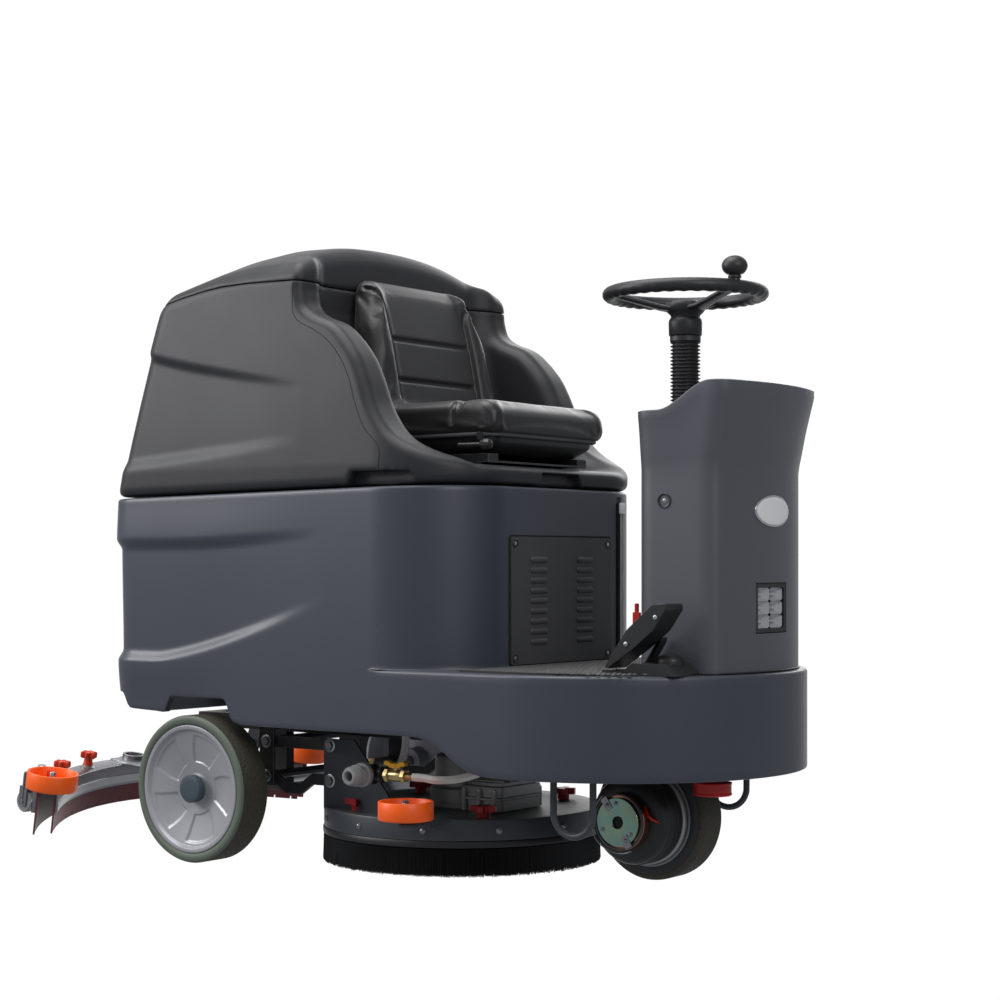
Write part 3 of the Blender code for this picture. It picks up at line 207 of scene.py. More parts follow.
def makeFinish(name, recipe):
    # recipe: colour, shade, rough, and what the finish shows at close range
    made = bpy.data.materials.new(name)
    made.use_nodes = True
    tree = made.node_tree
    shader = tree.nodes["Principled BSDF"]
    shader.inputs["Metallic"].default_value = recipe.get("metal", 0.0)
    for label in ("Coat Weight", "Coat Roughness", "Sheen Weight", "Sheen Roughness", "Anisotropic",
            "Specular IOR Level", "Transmission Weight", "IOR", "Subsurface Weight"):
        if label in recipe:
            shader.inputs[label].default_value = recipe[label]
    colour = (*recipe["colour"], 1)
    shade = (*recipe.get("shade", [0.62 * part for part in recipe["colour"]]), 1)
    tone = placeGroup(tree, "tone", {"Colour": colour, "Shade": shade, "Scale": recipe.get("drift", 5.0),
            "Fleck": recipe.get("fleck", 0.25), "Fleck Scale": recipe.get("fleckScale", 1400.0)})
    paint = tone.outputs["Colour"]
    for kind, label in (("wear", "wearColour"), ("dust", "dustColour")):
        if not recipe.get(kind):
            continue
        mask = placeGroup(tree, kind, {"Amount": recipe[kind]})
        mix = tree.nodes.new("ShaderNodeMix")
        mix.data_type = "RGBA"
        mix.inputs["B"].default_value = (*recipe.get(label, (0.34, 0.34, 0.33)), 1)
        tree.links.new(mask.outputs["Mask"], mix.inputs["Factor"])
        tree.links.new(paint, mix.inputs["A"])
        paint = mix.outputs["Result"]
    tree.links.new(paint, shader.inputs["Base Color"])
    spread = recipe.get("roughSpread", 0.1)
    rough = mathNode(tree, "MULTIPLY", tone.outputs["Mask"], spread)
    tree.links.new(mathNode(tree, "ADD", rough, recipe["rough"] - spread / 2, True),
            shader.inputs["Roughness"])
    height = None
    if recipe.get("grain"):
        height = placeGroup(tree, "grain", {"Scale": recipe["grain"],
                "Pebble": recipe.get("pebble", 0.5)}).outputs["Height"]
    if recipe.get("brushed"):
        lines = noiseNode(tree, 160.0, 3.0, 0.6, recipe["brushed"])
        height = lines if height is None else mathNode(tree, "ADD", height, lines)
    bump = tree.nodes.new("ShaderNodeBump")
    bump.inputs["Distance"].default_value = recipe.get("depth", 0.0002)
    bump.inputs["Strength"].default_value = recipe.get("relief", 0.4)
    if height is None:
        height = tone.outputs["Mask"]
    tree.links.new(height, bump.inputs["Height"])
    if recipe.get("soften"):
        rounded = tree.nodes.new("ShaderNodeBevel")
        rounded.samples = 4
        rounded.inputs["Radius"].default_value = recipe["soften"]
        tree.links.new(rounded.outputs[0], bump.inputs["Normal"])
    tree.links.new(bump.outputs[0], shader.inputs["Normal"])
    return made


recipes = {
    "bodyPaint": {"colour": (0.046, 0.053, 0.073), "shade": (0.037, 0.042, 0.058), "rough": 0.4,
                  "grain": 900.0,
                  "depth": 0.0001, "relief": 0.35, "wear": 0.25, "wearColour": (0.3, 0.33, 0.38),
                  "dust": 0.1,
                  "soften": 0.0025, "Coat Weight": 0.12, "Coat Roughness": 0.35, "fleck": 0.5},
    "tankPaint": {"colour": (0.024, 0.024, 0.028), "shade": (0.019, 0.019, 0.022),
                  "Specular IOR Level": 0.32, "rough": 0.46, "grain": 750.0,
                  "depth": 0.00014, "relief": 0.4, "dust": 0.14, "soften": 0.003, "fleck": 0.5},
    "columnPaint": {"colour": (0.082, 0.086, 0.103), "shade": (0.069, 0.073, 0.088), "rough": 0.4,
                    "grain": 900.0,
                    "depth": 0.0001, "relief": 0.3, "wear": 0.2, "wearColour": (0.32, 0.35, 0.4),
                    "dust": 0.08,
                    "soften": 0.0018, "Coat Weight": 0.12, "Coat Roughness": 0.35, "fleck": 0.5},
    "panelSheet": {"colour": (0.06, 0.06, 0.062), "rough": 0.55, "grain": 1100.0, "depth": 0.0001,
                   "dust": 0.12,
                   "soften": 0.0008},
    "framePaint": {"colour": (0.046, 0.056, 0.069), "rough": 0.42, "grain": 500.0, "depth": 0.0001,
                   "wear": 0.5,
                   "dust": 0.25, "soften": 0.0008},
    "darkSteel": {"colour": (0.022, 0.023, 0.026), "rough": 0.45, "grain": 420.0, "depth": 0.00012,
                  "wear": 0.5,
                  "dust": 0.2, "soften": 0.0008},
    "zinc": {"colour": (0.62, 0.62, 0.63), "metal": 1.0, "rough": 0.34, "grain": 380.0, "depth": 0.00008,
             "dust": 0.1},
    "stainless": {"colour": (0.4, 0.4, 0.42), "metal": 1.0, "rough": 0.36, "brushed": (1, 14, 14),
                  "depth": 0.00005,
                  "Anisotropic": 0.3},
    "rainbowZinc": {"colour": (0.13, 0.36, 0.5), "shade": (0.44, 0.52, 0.2), "metal": 1.0, "rough": 0.24,
                    "drift": 34.0,
                    "grain": 300.0, "depth": 0.00004},
    "chrome": {"colour": (0.82, 0.82, 0.83), "metal": 1.0, "rough": 0.13, "grain": 200.0, "depth": 0.00003},
    "brass": {"colour": (0.72, 0.56, 0.27), "metal": 1.0, "rough": 0.3, "grain": 300.0, "depth": 0.00006},
    "castAlloy": {"colour": (0.5, 0.5, 0.49), "metal": 0.55, "rough": 0.5, "grain": 260.0, "depth": 0.0003,
                  "dust": 0.3, "soften": 0.001},
    "blackPlastic": {"colour": (0.014, 0.014, 0.015), "rough": 0.4, "grain": 900.0, "depth": 0.0001,
                     "dust": 0.05,
                     "soften": 0.0006},
    "wheelRubber": {"colour": (0.02, 0.02, 0.023), "rough": 0.46, "grain": 1300.0, "depth": 0.0001,
                    "dust": 0.05},
    "matRubber": {"colour": (0.024, 0.023, 0.023), "rough": 0.62, "grain": 700.0, "depth": 0.00025,
                  "dust": 0.25},
    "leather": {"colour": (0.014, 0.013, 0.014), "shade": (0.009, 0.009, 0.01), "rough": 0.4, "grain": 620.0,
                "pebble": 1.0, "depth": 0.00022, "relief": 0.45, "dust": 0.03, "Sheen Weight": 0.12,
                "Sheen Roughness": 0.4, "Coat Weight": 0.08, "Coat Roughness": 0.45},
    "piping": {"colour": (0.085, 0.086, 0.092), "rough": 0.6, "grain": 900.0, "depth": 0.0002},
    "clearPlastic": {"colour": (0.74, 0.75, 0.74), "rough": 0.16, "grain": 60.0, "depth": 0.0001,
                     "Transmission Weight": 0.55, "IOR": 1.45},
    "greyPlastic": {"colour": (0.3, 0.31, 0.31), "rough": 0.32, "grain": 300.0, "depth": 0.0001},
    "hoseWhite": {"colour": (0.74, 0.73, 0.69), "rough": 0.3, "grain": 200.0, "depth": 0.0001,
                  "Subsurface Weight": 0.12},
    "orangeUrethane": {"colour": (1.0, 0.13, 0.002), "shade": (0.92, 0.1, 0.002), "rough": 0.42,
                       "grain": 500.0,
                       "depth": 0.0001, "soften": 0.0012},
    "knobOrange": {"colour": (0.72, 0.055, 0.012), "shade": (0.6, 0.04, 0.01), "rough": 0.35, "grain": 600.0,
                   "depth": 0.0001, "soften": 0.001},
    "redPlastic": {"colour": (0.55, 0.008, 0.006), "shade": (0.42, 0.006, 0.005), "rough": 0.34,
                   "grain": 600.0,
                   "depth": 0.0001, "soften": 0.001},
    "yellowPlastic": {"colour": (0.87, 0.47, 0.015), "rough": 0.36, "grain": 600.0, "depth": 0.0001,
                      "soften": 0.001},
    "bladeRubber": {"colour": (0.185, 0.034, 0.04), "rough": 0.48, "grain": 500.0, "depth": 0.0002,
                    "wear": 0.2},
    "tyreGreen": {"colour": (0.118, 0.15, 0.115), "rough": 0.58, "grain": 500.0, "depth": 0.0002,
                  "dust": 0.3,
                  "dustColour": (0.22, 0.2, 0.15)},
    "treadOlive": {"colour": (0.062, 0.056, 0.036), "shade": (0.022, 0.02, 0.014), "rough": 0.75,
                   "grain": 170.0,
                   "pebble": 1.2, "depth": 0.0012, "relief": 0.9, "fleck": 1.2, "fleckScale": 260.0},
    "rimPaint": {"colour": (0.44, 0.44, 0.47), "rough": 0.34, "grain": 500.0, "depth": 0.0001, "dust": 0.08,
                 "metal": 0.25, "soften": 0.0012},
    "hubCap": {"colour": (0.052, 0.078, 0.098), "rough": 0.5, "grain": 600.0, "depth": 0.0001},
    "bristle": {"colour": (0.008, 0.008, 0.009), "rough": 0.5, "grain": 900.0, "depth": 0.0001},
    "copperGlow": {"colour": (0.75, 0.36, 0.25), "metal": 1.0, "rough": 0.22, "grain": 150.0,
                   "depth": 0.00005},
    "badgeWhite": {"colour": (0.8, 0.8, 0.8), "shade": (0.74, 0.74, 0.75), "rough": 0.28, "grain": 300.0,
                   "depth": 0.00003},
    "ledGlass": {"colour": (0.6, 0.61, 0.64), "rough": 0.1, "grain": 120.0, "depth": 0.0001, "metal": 0.4},
    # near-black standing in for shade: painted shade in the brake disc's hole, the vent panel's gap and the
    # tank's parting groove
    "paintedShadeBlack": {"colour": (0.004, 0.004, 0.004), "rough": 0.8, "grain": 200.0, "depth": 0.0001},
}
finishes = {name: makeFinish(name, recipe) for name, recipe in recipes.items()}

print("finishes made:", len(finishes))


# Mesh helpers

def place(name, geometry, finish, body, stands=(), bevel=0.0, steps=2, crease=35, at=None):
    mesh = bpy.data.meshes.new(name)
    if isinstance(geometry, bmesh.types.BMesh):
        if at is not None:
            geometry.transform(at if isinstance(at, Matrix) else Matrix.Translation(at))
        bmesh.ops.recalc_face_normals(geometry, faces=geometry.faces)
        geometry.transform(Matrix.Translation((originX, 0, 0)))
        geometry.to_mesh(mesh)
        geometry.free()
    mesh.materials.append(finishes[finish])
    mesh.shade_smooth()
    if crease < 180:
        mesh.set_sharp_from_angle(angle=math.radians(crease))
    made = bpy.data.objects.new(name, mesh)
    bpy.context.scene.collection.objects.link(made)
    if bevel:
        step = made.modifiers.new("softEdge", "BEVEL")
        step.width = bevel
        step.segments = steps
        step.limit_method = "ANGLE"
        step.angle_limit = math.radians(40)
        step.harden_normals = True
    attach(made, body)
    if stands:
        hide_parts(*stands)
    return made


def skin(rings, closed=False, caps=True):
    # skins equal rings of points one after another
    geometry = bmesh.new()
    made = [[geometry.verts.new(point) for point in ring] for ring in rings]
    count = len(made[0])
    pairs = list(zip(made, made[1:] + made[:1])) if closed else list(zip(made, made[1:]))
    for low, high in pairs:
        for k in range(count):
            after = (k + 1) % count
            geometry.faces.new((low[k], low[after], high[after], high[k]))
    if caps and not closed:
        geometry.faces.new(made[0])
        geometry.faces.new(made[-1])
    return geometry


def bar(outline, low, high, axis="Z"):
    order = {"Z": lambda a, b, c: (a, b, c), "Y": lambda a, b, c: (a, c, b), "X": lambda a, b,
            c: (c, a, b)}[axis]
    return skin([[order(a, b, level) for a, b in outline] for level in (low, high)])


def block(low, high):
    return bar([(low[0], low[1]), (high[0], low[1]), (high[0], high[1]), (low[0], high[1])], low[2], high[2])


def ring(radius, count=48, centre=(0, 0), phase=0.0):
    turns = [phase + 2 * math.pi * k / count for k in range(count)]
    return [(centre[0] + radius * math.cos(t), centre[1] + radius * math.sin(t)) for t in turns]


def rounded(corners, steps=6):
    # corners are (a, b, radius)
    points = []
    for index, (a, b, radius) in enumerate(corners):
        here = Vector((a, b))
        if radius <= 0:
            points.append((a, b))
            continue
        before = (Vector(corners[index - 1][:2]) - here).normalized()
        after = (Vector(corners[(index + 1) % len(corners)][:2]) - here).normalized()
        half = math.acos(max(-1.0, min(1.0, before.dot(after)))) / 2
        centre = here + (before + after).normalized() * (radius / math.sin(half))
        start = here + before * (radius / math.tan(half)) - centre
        end = here + after * (radius / math.tan(half)) - centre
        sweep = start.angle_signed(end)
        points += [tuple(centre + Matrix.Rotation(-sweep * k / steps, 2) @ start) for k in range(steps + 1)]
    return points


axisTurn = {"Z": Matrix(), "Y": Matrix.Rotation(-math.pi / 2, 4, "X"), "-Y": Matrix.Rotation(math.pi / 2, 4,
        "X"), "X": Matrix.Rotation(math.pi / 2, 4, "Y")}


def lathe(profile, axis="Z", count=64, closed=False):
    # (radius, height) pairs spun about the axis
    geometry = bmesh.new()
    columns = []
    for radius, height in profile:
        if radius == 0:
            columns.append([geometry.verts.new((0, 0, height))])
        else:
            columns.append([geometry.verts.new((x, y, height)) for x, y in ring(radius, count)])
    pairs = list(zip(columns, columns[1:]))
    if closed:
        pairs.append((columns[-1], columns[0]))
    for low, high in pairs:
        for k in range(count):
            after = (k + 1) % count
            corners = [low[k % len(low)], low[after % len(low)], high[after % len(high)], high[k % len(high)]]
            geometry.faces.new(list(dict.fromkeys(corners)))
    geometry.transform(axisTurn[axis])
    return geometry


def curveThrough(points, steps=6):
    # Catmull-Rom through given points
    places = [Vector(point) for point in points]
    places = [2 * places[0] - places[1]] + places + [2 * places[-1] - places[-2]]
    route = []
    for a, b, c, d in zip(places, places[1:], places[2:], places[3:]):
        for step in range(steps):
            t = step / steps
            route.append(0.5 * (2 * b + (c - a) * t + (2 * a - 5 * b + 4 * c - d) * t * t
                    + (3 * b - a - 3 * c + d) * t ** 3))
    route.append(places[-2])
    return route


def pipe(points, radius, count=14, steps=6, wave=None, closed=False):
    # a round bar along a smooth line; wave gives the radius at each share of the line
    route = curveThrough(points, steps) if steps else [Vector(point) for point in points]
    total = len(route)
    side = None
    rings = []
    for index, here in enumerate(route):
        if closed:
            along = (route[(index + 1) % total] - route[index - 1]).normalized()
        else:
            along = (route[min(index + 1, total - 1)] - route[max(index - 1, 0)]).normalized()
        if side is None:
            side = along.orthogonal().normalized()
        side = (side - along * side.dot(along)).normalized()
        other = along.cross(side)
        size = radius if wave is None else radius * wave(index / (total - 1))
        rings.append([here + side * (a * size) + other * (b * size) for a, b in ring(1.0, count)])
    return skin(rings, closed)


def merge(*parts):
    # several bmeshes as one
    whole = parts[0]
    for part in parts[1:]:
        scratch = bpy.data.meshes.new("scratch")
        part.to_mesh(scratch)
        part.free()
        whole.from_mesh(scratch)
        bpy.data.meshes.remove(scratch)
    return whole


def moved(geometry, offset=(0, 0, 0), turn=0.0, about="Z"):
    geometry.transform(Matrix.Translation(offset) @ Matrix.Rotation(turn, 4, about))
    return geometry


def carve(made, tools, operation="DIFFERENCE"):
    # cuts or joins the tools into a placed piece and keeps the result as its mesh
    helpers = []
    for tool in tools:
        mesh = bpy.data.meshes.new("tool")
        bmesh.ops.recalc_face_normals(tool, faces=tool.faces)
        tool.transform(Matrix.Translation((originX, 0, 0)))
        tool.to_mesh(mesh)
        tool.free()
        helper = bpy.data.objects.new("tool", mesh)
        bpy.context.scene.collection.objects.link(helper)
        step = made.modifiers.new("carve", "BOOLEAN")
        step.operation = operation
        step.solver = "EXACT"
        step.object = helper
        helpers.append((helper, mesh))
    bpy.context.view_layer.update()
    result = bpy.data.meshes.new_from_object(made.evaluated_get(bpy.context.evaluated_depsgraph_get()))
    made.modifiers.clear()
    old = made.data
    result.name = old.name + "Cut"
    made.data = result
    bpy.data.meshes.remove(old)
    for helper, mesh in helpers:
        bpy.data.objects.remove(helper)
        bpy.data.meshes.remove(mesh)
    return made


boltShape = {"washer": 0.0016, "head": 0.0045}


def bolt(radius, direction, hexagon=True, washer=1.45):
    # a bolt head on its washer, looking along the direction
    parts = [lathe([(0, 0), (radius * washer, 0), (radius * washer, boltShape["washer"] * 0.7),
            (radius * washer * 0.94, boltShape["washer"]), (0, boltShape["washer"])], "Z", 28)]
    base = boltShape["washer"]
    if hexagon:
        corners = ring(radius, 6)
        top = ring(radius * 0.86, 6)
        head = skin([[(x, y, base) for x, y in corners], [(x, y, base + boltShape["head"] * 0.8) for x,
                y in corners], [(x, y, base + boltShape["head"]) for x, y in top]])
    else:
        dome = [(radius * math.cos(a), base + radius * 0.62 * math.sin(a))
                for a in [k * math.pi / 12 for k in range(6)]]
        head = lathe([(0, base)] + dome + [(radius * 0.42, base + radius * 0.6),
                (radius * 0.4, base + radius * 0.3), (0, base + radius * 0.3)], "Z", 24)
    parts.append(head)
    made = merge(*parts)
    made.transform(axisTurn[direction])
    return made


def bolts(name, places, radius, direction, body, finish="zinc", hexagon=True, washer=1.45):
    parts = [moved(bolt(radius, direction, hexagon, washer), at) for at in places]
    return place(name, merge(*parts), finish, body)


# Rounded solids from distance fields, for the moulded shells

def roundMax(a, b, radius):
    u = np.maximum(a + radius, 0)
    v = np.maximum(b + radius, 0)
    return np.minimum(-radius, np.maximum(a, b)) + np.sqrt(u * u + v * v)


def roundMin(a, b, radius):
    return -roundMax(-a, -b, radius)


def polygonField(points, a, b):
    # signed distance to a closed outline, negative inside
    best = np.full(a.shape, 1e9)
    inside = np.zeros(a.shape, bool)
    for (a0, b0), (a1, b1) in zip(points, points[1:] + points[:1]):
        ea, eb = a1 - a0, b1 - b0
        share = np.clip(((a - a0) * ea + (b - b0) * eb) / (ea * ea + eb * eb), 0, 1)
        best = np.minimum(best, (a - a0 - share * ea) ** 2 + (b - b0 - share * eb) ** 2)
        if eb != 0:
            crosses = ((b0 > b) != (b1 > b)) & (a < a0 + (b - b0) * ea / eb)
            inside ^= crosses
    return np.where(inside, -1, 1) * np.sqrt(best)


def netMesh(field, low, high, pitch, warp=None):
    # skins the zero surface of a field over a grid; warp lifts each grid point by a height of x
    axes = [np.arange(a, b + pitch, pitch) for a, b in zip(low, high)]
    gx, gy, gz = np.meshgrid(*axes, indexing="ij")
    if warp is not None:
        gz = gz + warp(gx)
    values = field(gx, gy, gz)
    inside = values < 0
    shape = [n - 1 for n in values.shape]
    corners = [(i, j, k) for i in (0, 1) for j in (0, 1) for k in (0, 1)]
    total = sum(inside[i:i + shape[0], j:j + shape[1], k:k + shape[2]].astype(np.int8) for i, j, k in corners)
    cells = np.argwhere((total > 0) & (total < 8))
    number = -np.ones(shape, np.int64)
    number[tuple(cells.T)] = np.arange(len(cells))
    sums = np.zeros((len(cells), 3))
    counts = np.zeros(len(cells))
    for first in corners:
        for second in corners:
            if sum(abs(a - b) for a, b in zip(first, second)) != 1 or first > second:
                continue
            one, two = tuple((cells + first).T), tuple((cells + second).T)
            va, vb = values[one], values[two]
            share = np.where((va < 0) != (vb < 0), va / np.where(va == vb, 1, va - vb), np.nan)
            hit = ~np.isnan(share)
            for axis, grid in enumerate((gx, gy, gz)):
                sums[hit, axis] += (grid[one] + share * (grid[two] - grid[one]))[hit]
            counts[hit] += 1
    vertices = sums / counts[:, None]
    faces = []
    for axis in range(3):
        others = [n for n in range(3) if n != axis]
        step = np.zeros(3, int)
        step[axis] = 1
        ahead = [slice(None)] * 3
        behind = [slice(None)] * 3
        ahead[axis], behind[axis] = slice(1, None), slice(None, -1)
        change = inside[tuple(behind)] != inside[tuple(ahead)]
        nodes = np.argwhere(change)
        keep = (nodes[:, others[0]] > 0) & (nodes[:, others[1]] > 0)
        nodes = nodes[keep & (nodes[:, others[0]] < shape[others[0]]) & (nodes[:,
                others[1]] < shape[others[1]])]
        u, v = np.zeros(3, int), np.zeros(3, int)
        u[others[0]], v[others[1]] = 1, 1
        quad = np.stack([number[tuple((nodes - u - v).T)], number[tuple((nodes - v).T)],
                number[tuple(nodes.T)], number[tuple((nodes - u).T)]], 1)
        flip = inside[tuple(nodes.T)] == (axis == 1)
        quad[flip] = quad[flip][:, ::-1]
        faces.append(quad)
    faces = np.concatenate(faces)
    mesh = bpy.data.meshes.new("net")
    mesh.from_pydata([tuple(v) for v in vertices], [], faces.tolist())
    mesh.update()
    geometry = bmesh.new()
    geometry.from_mesh(mesh)
    bpy.data.meshes.remove(mesh)
    return geometry


def interpolated(points):
    # height read off a line of (x, height) points
    xs, zs = zip(*points)
    return lambda x: np.interp(x, xs, zs)

# Lower body: one skin from the footwell floor up to the joint with the tank

bodyShape = {"rear": -0.282, "front": 0.65, "half": 0.372, "frontCorner": 0.188, "rearCorner": 0.09,
        "shelf": 0.407, "nose": 1.15, "lip": 0.016, "topFillet": 0.006, "shelfFillet": 0.006,
        "scoopDepth": 0.011, "ceiling": 0.385}
underLine = interpolated([(-0.4, 0.337), (-0.23, 0.337), (-0.222, 0.333), (-0.212, 0.315), (-0.203, 0.306),
        (-0.19, 0.3045), (-0.12, 0.302), (-0.097, 0.3), (-0.09, 0.312), (-0.083, 0.33), (-0.07, 0.335),
        (0.07, 0.335), (0.083, 0.33), (0.09, 0.308), (0.097, 0.292), (0.11, 0.287), (0.13, 0.284),
        (0.555, 0.284), (0.58, 0.2825), (0.6, 0.278), (0.62, 0.27), (0.64, 0.259), (0.66, 0.245),
        (0.68, 0.233), (0.7, 0.225), (0.72, 0.22), (0.745, 0.2175), (0.77, 0.217), (1.3, 0.217)])


def topLine(x):
    return 0.744 + 0.0152 * (x - bodyShape["rear"])


def bodyScoop(x, z):
    # a shallow hollow that wraps the rear corner and fades out before the driver
    rise = max(0.0, x + 0.12)
    lower = 0.404 + 0.351 * rise ** 1.35
    upper = 0.659 + 0.119 * max(0.0, x + 0.1) ** 2
    fade = 1 - ease(0.02, 0.36, x)
    hollow = ease(lower - 0.001, lower + 0.024, z) * (1 - ease(upper - 0.022, upper + 0.001, z))
    bulge = 0.003 * ease(topLine(x) + 0.01, upper, z) * ease(lower, upper, z) * fade
    tuck = 0.006 * (1 - ease(0.3, lower, z)) * (1 - ease(-0.1, 0.2, x))
    return bulge - bodyShape["scoopDepth"] * hollow * fade - tuck


def cornerPoints(centre, radius, start, end, count):
    return [(centre[0] + radius * math.cos(lerp(start, end, k / count)),
            centre[1] + radius * math.sin(lerp(start, end, k / count))) for k in range(1, count + 1)]


def makeLowerBody():
    s = bodyShape
    half, rear, front = s["half"], s["rear"], s["front"]
    # right side, from the middle of the rear to the middle of the front
    rearArc, frontArc = s["rearCorner"], s["frontCorner"]
    outline = [(rear, -lerp(0, half - rearArc, k / 8)) for k in range(9)]
    outline += cornerPoints((rear + rearArc, -half + rearArc), rearArc, math.pi, 1.5 * math.pi, 16)
    sideEnd = front - frontArc
    sideXs = list(np.arange(rear + rearArc + 0.008, sideEnd, 0.008)) + [sideEnd]
    outline += [(x, -half) for x in sideXs]
    wallPath = cornerPoints((sideEnd, -half + frontArc), frontArc, 1.5 * math.pi, 2 * math.pi, 40)
    wallPath += [(front, y) for y in np.linspace(-half + frontArc, 0, 24)[1:]]
    deckHalf = half + 0.001
    turnX = s["nose"] - deckHalf
    deckPath = [(x, -half - 0.001 * ease(0, 0.05, x - sideEnd)) for x in np.linspace(sideEnd, turnX, 25)[1:]]
    deckPath += cornerPoints((turnX, 0), deckHalf, 1.5 * math.pi, 2 * math.pi, len(wallPath) - 24)
    lower = outline + deckPath
    upper = outline + wallPath
    count = len(lower)

    def normals(path):
        made = []
        for k in range(len(path)):
            if k in (0, len(path) - 1):
                made.append(Vector((-1.0 if k == 0 else 1.0, 0)))
                continue
            a, b = Vector(path[k - 1]), Vector(path[k + 1])
            along = (b - a).normalized()
            made.append(Vector((along.y, -along.x)))
        return made

    lowerOut, upperOut = normals(lower), normals(upper)
    columns = []
    for k in range(count):
        (px, py), (qx, qy) = lower[k], upper[k]
        ledge = math.hypot(px - qx, py - qy)
        bottom, top, shelf = underLine(px), topLine(qx), s["shelf"]
        column = []

        def add(base, out, inset, z, scooped=True):
            shift = bodyScoop(base[0], z) if scooped and base[0] < 0.46 else 0.0
            column.append((base[0] + out.x * (shift - inset), min(0.0, base[1] + out.y * (shift - inset)), z))

        roof = lerp(bottom + 0.002, s["ceiling"], ease(0.545, 0.56, px))
        for inset, z in ((s["lip"] + 0.001, roof), (s["lip"], roof - 0.001), (s["lip"], bottom + 0.0008),
                (s["lip"] - 0.002, bottom), (0.0025, bottom), (0.0008, bottom + 0.0008),
                (0.0, bottom + 0.003)):
            add(lower[k], lowerOut[k], inset, z)
        fillet = min(s["shelfFillet"], ledge * 0.45)
        for step in range(1, 15):
            add(lower[k], lowerOut[k], 0.0, lerp(bottom + 0.003, shelf - s["shelfFillet"], step / 14))
        for angle in (0.3, 0.6, 0.85, 1.0):
            turn = angle * math.pi / 2
            add(lower[k], lowerOut[k], fillet * (1 - math.cos(turn)),
                    shelf - s["shelfFillet"] * (1 - math.sin(turn)))
        foot = min(0.003, ledge * 0.3)
        add(upper[k], upperOut[k], -foot, shelf + 0.0002)
        add(upper[k], upperOut[k], -foot * 0.3, shelf + 0.0012)
        for step in range(57):
            add(upper[k], upperOut[k], 0.0, lerp(shelf + 0.004, top - s["topFillet"], step / 56))
        for angle in (0.3, 0.6, 0.85, 1.0):
            turn = angle * math.pi / 2
            add(upper[k], upperOut[k], s["topFillet"] * (1 - math.cos(turn)),
                    top - s["topFillet"] * (1 - math.sin(turn)))
        columns.append(column)
    for k in (0, count - 1):
        columns[k] = [(x, 0.0, z) for x, y, z in columns[k]]

    geometry = bmesh.new()
    right = [[geometry.verts.new(point) for point in column] for column in columns]
    left = [right[0]] + [[geometry.verts.new((x, -y, z)) for x, y, z in column]
            for column in columns[1:-1]] + [right[-1]]
    height = len(right[0])
    for side in (right, left):
        for one, two in zip(side, side[1:]):
            for low in range(height - 1):
                geometry.faces.new((one[low], two[low], two[low + 1], one[low + 1]))
    # straight strips across close the roof of the footwell and the top
    for level, flat in ((0, (8, count - 1)), (height - 1, (8, count - 24))):
        first, last = flat
        start = [column[level] for column in right[:first + 1]] + [column[level]
                for column in left[first:0:-1]]
        geometry.faces.new(start)
        for k in range(first, last):
            corners = [right[k][level], right[k + 1][level], left[k + 1][level], left[k][level]]
            geometry.faces.new(list(dict.fromkeys(corners)))
        if last < count - 1:
            tail = [column[level] for column in right[last:]] + [column[level]
                    for column in left[-2:last - 1:-1]]
            geometry.faces.new(tail)
    bmesh.ops.remove_doubles(geometry, verts=geometry.verts, dist=0.00002)
    body = place("lower_body_shell", geometry, "bodyPaint", "chassis", ["lower_body"], crease=180)
    low, high = spot("level_tube")
    groove = bar(ring(0.0125, 24, (front + 0.003, (low.y + high.y) / 2)), s["shelf"] + 0.003,
            topLine(front) - 0.012)
    battery = block((-0.2, -0.205, 0.36), (0.4, 0.205, 0.9))
    shaft = bar(ring(0.024, 32, (middle("steering_shaft").x, 0)), 0.37, 0.42)
    carve(body, [groove, battery, shaft])
    body.data.set_sharp_from_angle(angle=math.radians(38))
    return body


lowerBody = makeLowerBody()
print("lower body made", len(lowerBody.data.polygons))


# Recovery tank and its hinged lid, from one moulded form

tankShape = {"sideGrip": (0.395, 0.565, 0.7855), "pitch": 0.0045, "half": 0.3722, "topHalf": 0.344,
        "recess": 0.272, "edge": 0.02, "wingEdge": 0.03, "scoop": 0.008, "gap": 0.0009}
seamLine = interpolated([(-0.4, 1.098), (-0.1535, 1.139), (-0.06, 1.158), (0.0, 1.1665), (0.052, 1.171),
        (0.12, 1.1725), (0.2, 1.1705), (0.258, 1.1685), (0.6, 1.16)])
wingLine = [tuple(p)[:2] for p in curveThrough([(0.262, 1.15, 0), (0.272, 1.118, 0), (0.3, 1.097, 0),
        (0.354, 1.074, 0), (0.406, 1.022, 0), (0.434, 0.972, 0), (0.462, 0.906, 0), (0.507, 0.853, 0),
        (0.581, 0.819, 0), (0.668, 0.8005, 0)], 5)]
rearLine = [(-0.2605, 0.7454), (-0.25, 0.79), (-0.233, 0.86), (-0.212, 0.94), (-0.194, 1.005),
        (-0.178, 1.062), (-0.165, 1.105), (-0.15, 1.15)]
crownLine = interpolated([(-0.3, 1.02), (-0.165, 1.158), (-0.142, 1.186), (-0.1, 1.213), (-0.05, 1.236),
        (0.0, 1.254), (0.052, 1.268), (0.12, 1.275), (0.18, 1.272), (0.235, 1.262), (0.3, 1.24)])
shoulderLine = interpolated([(-0.3, 1.02), (-0.165, 1.128), (-0.142, 1.15), (-0.1, 1.163), (0.0, 1.182),
        (0.052, 1.19), (0.12, 1.197), (0.235, 1.2), (0.3, 1.2)])


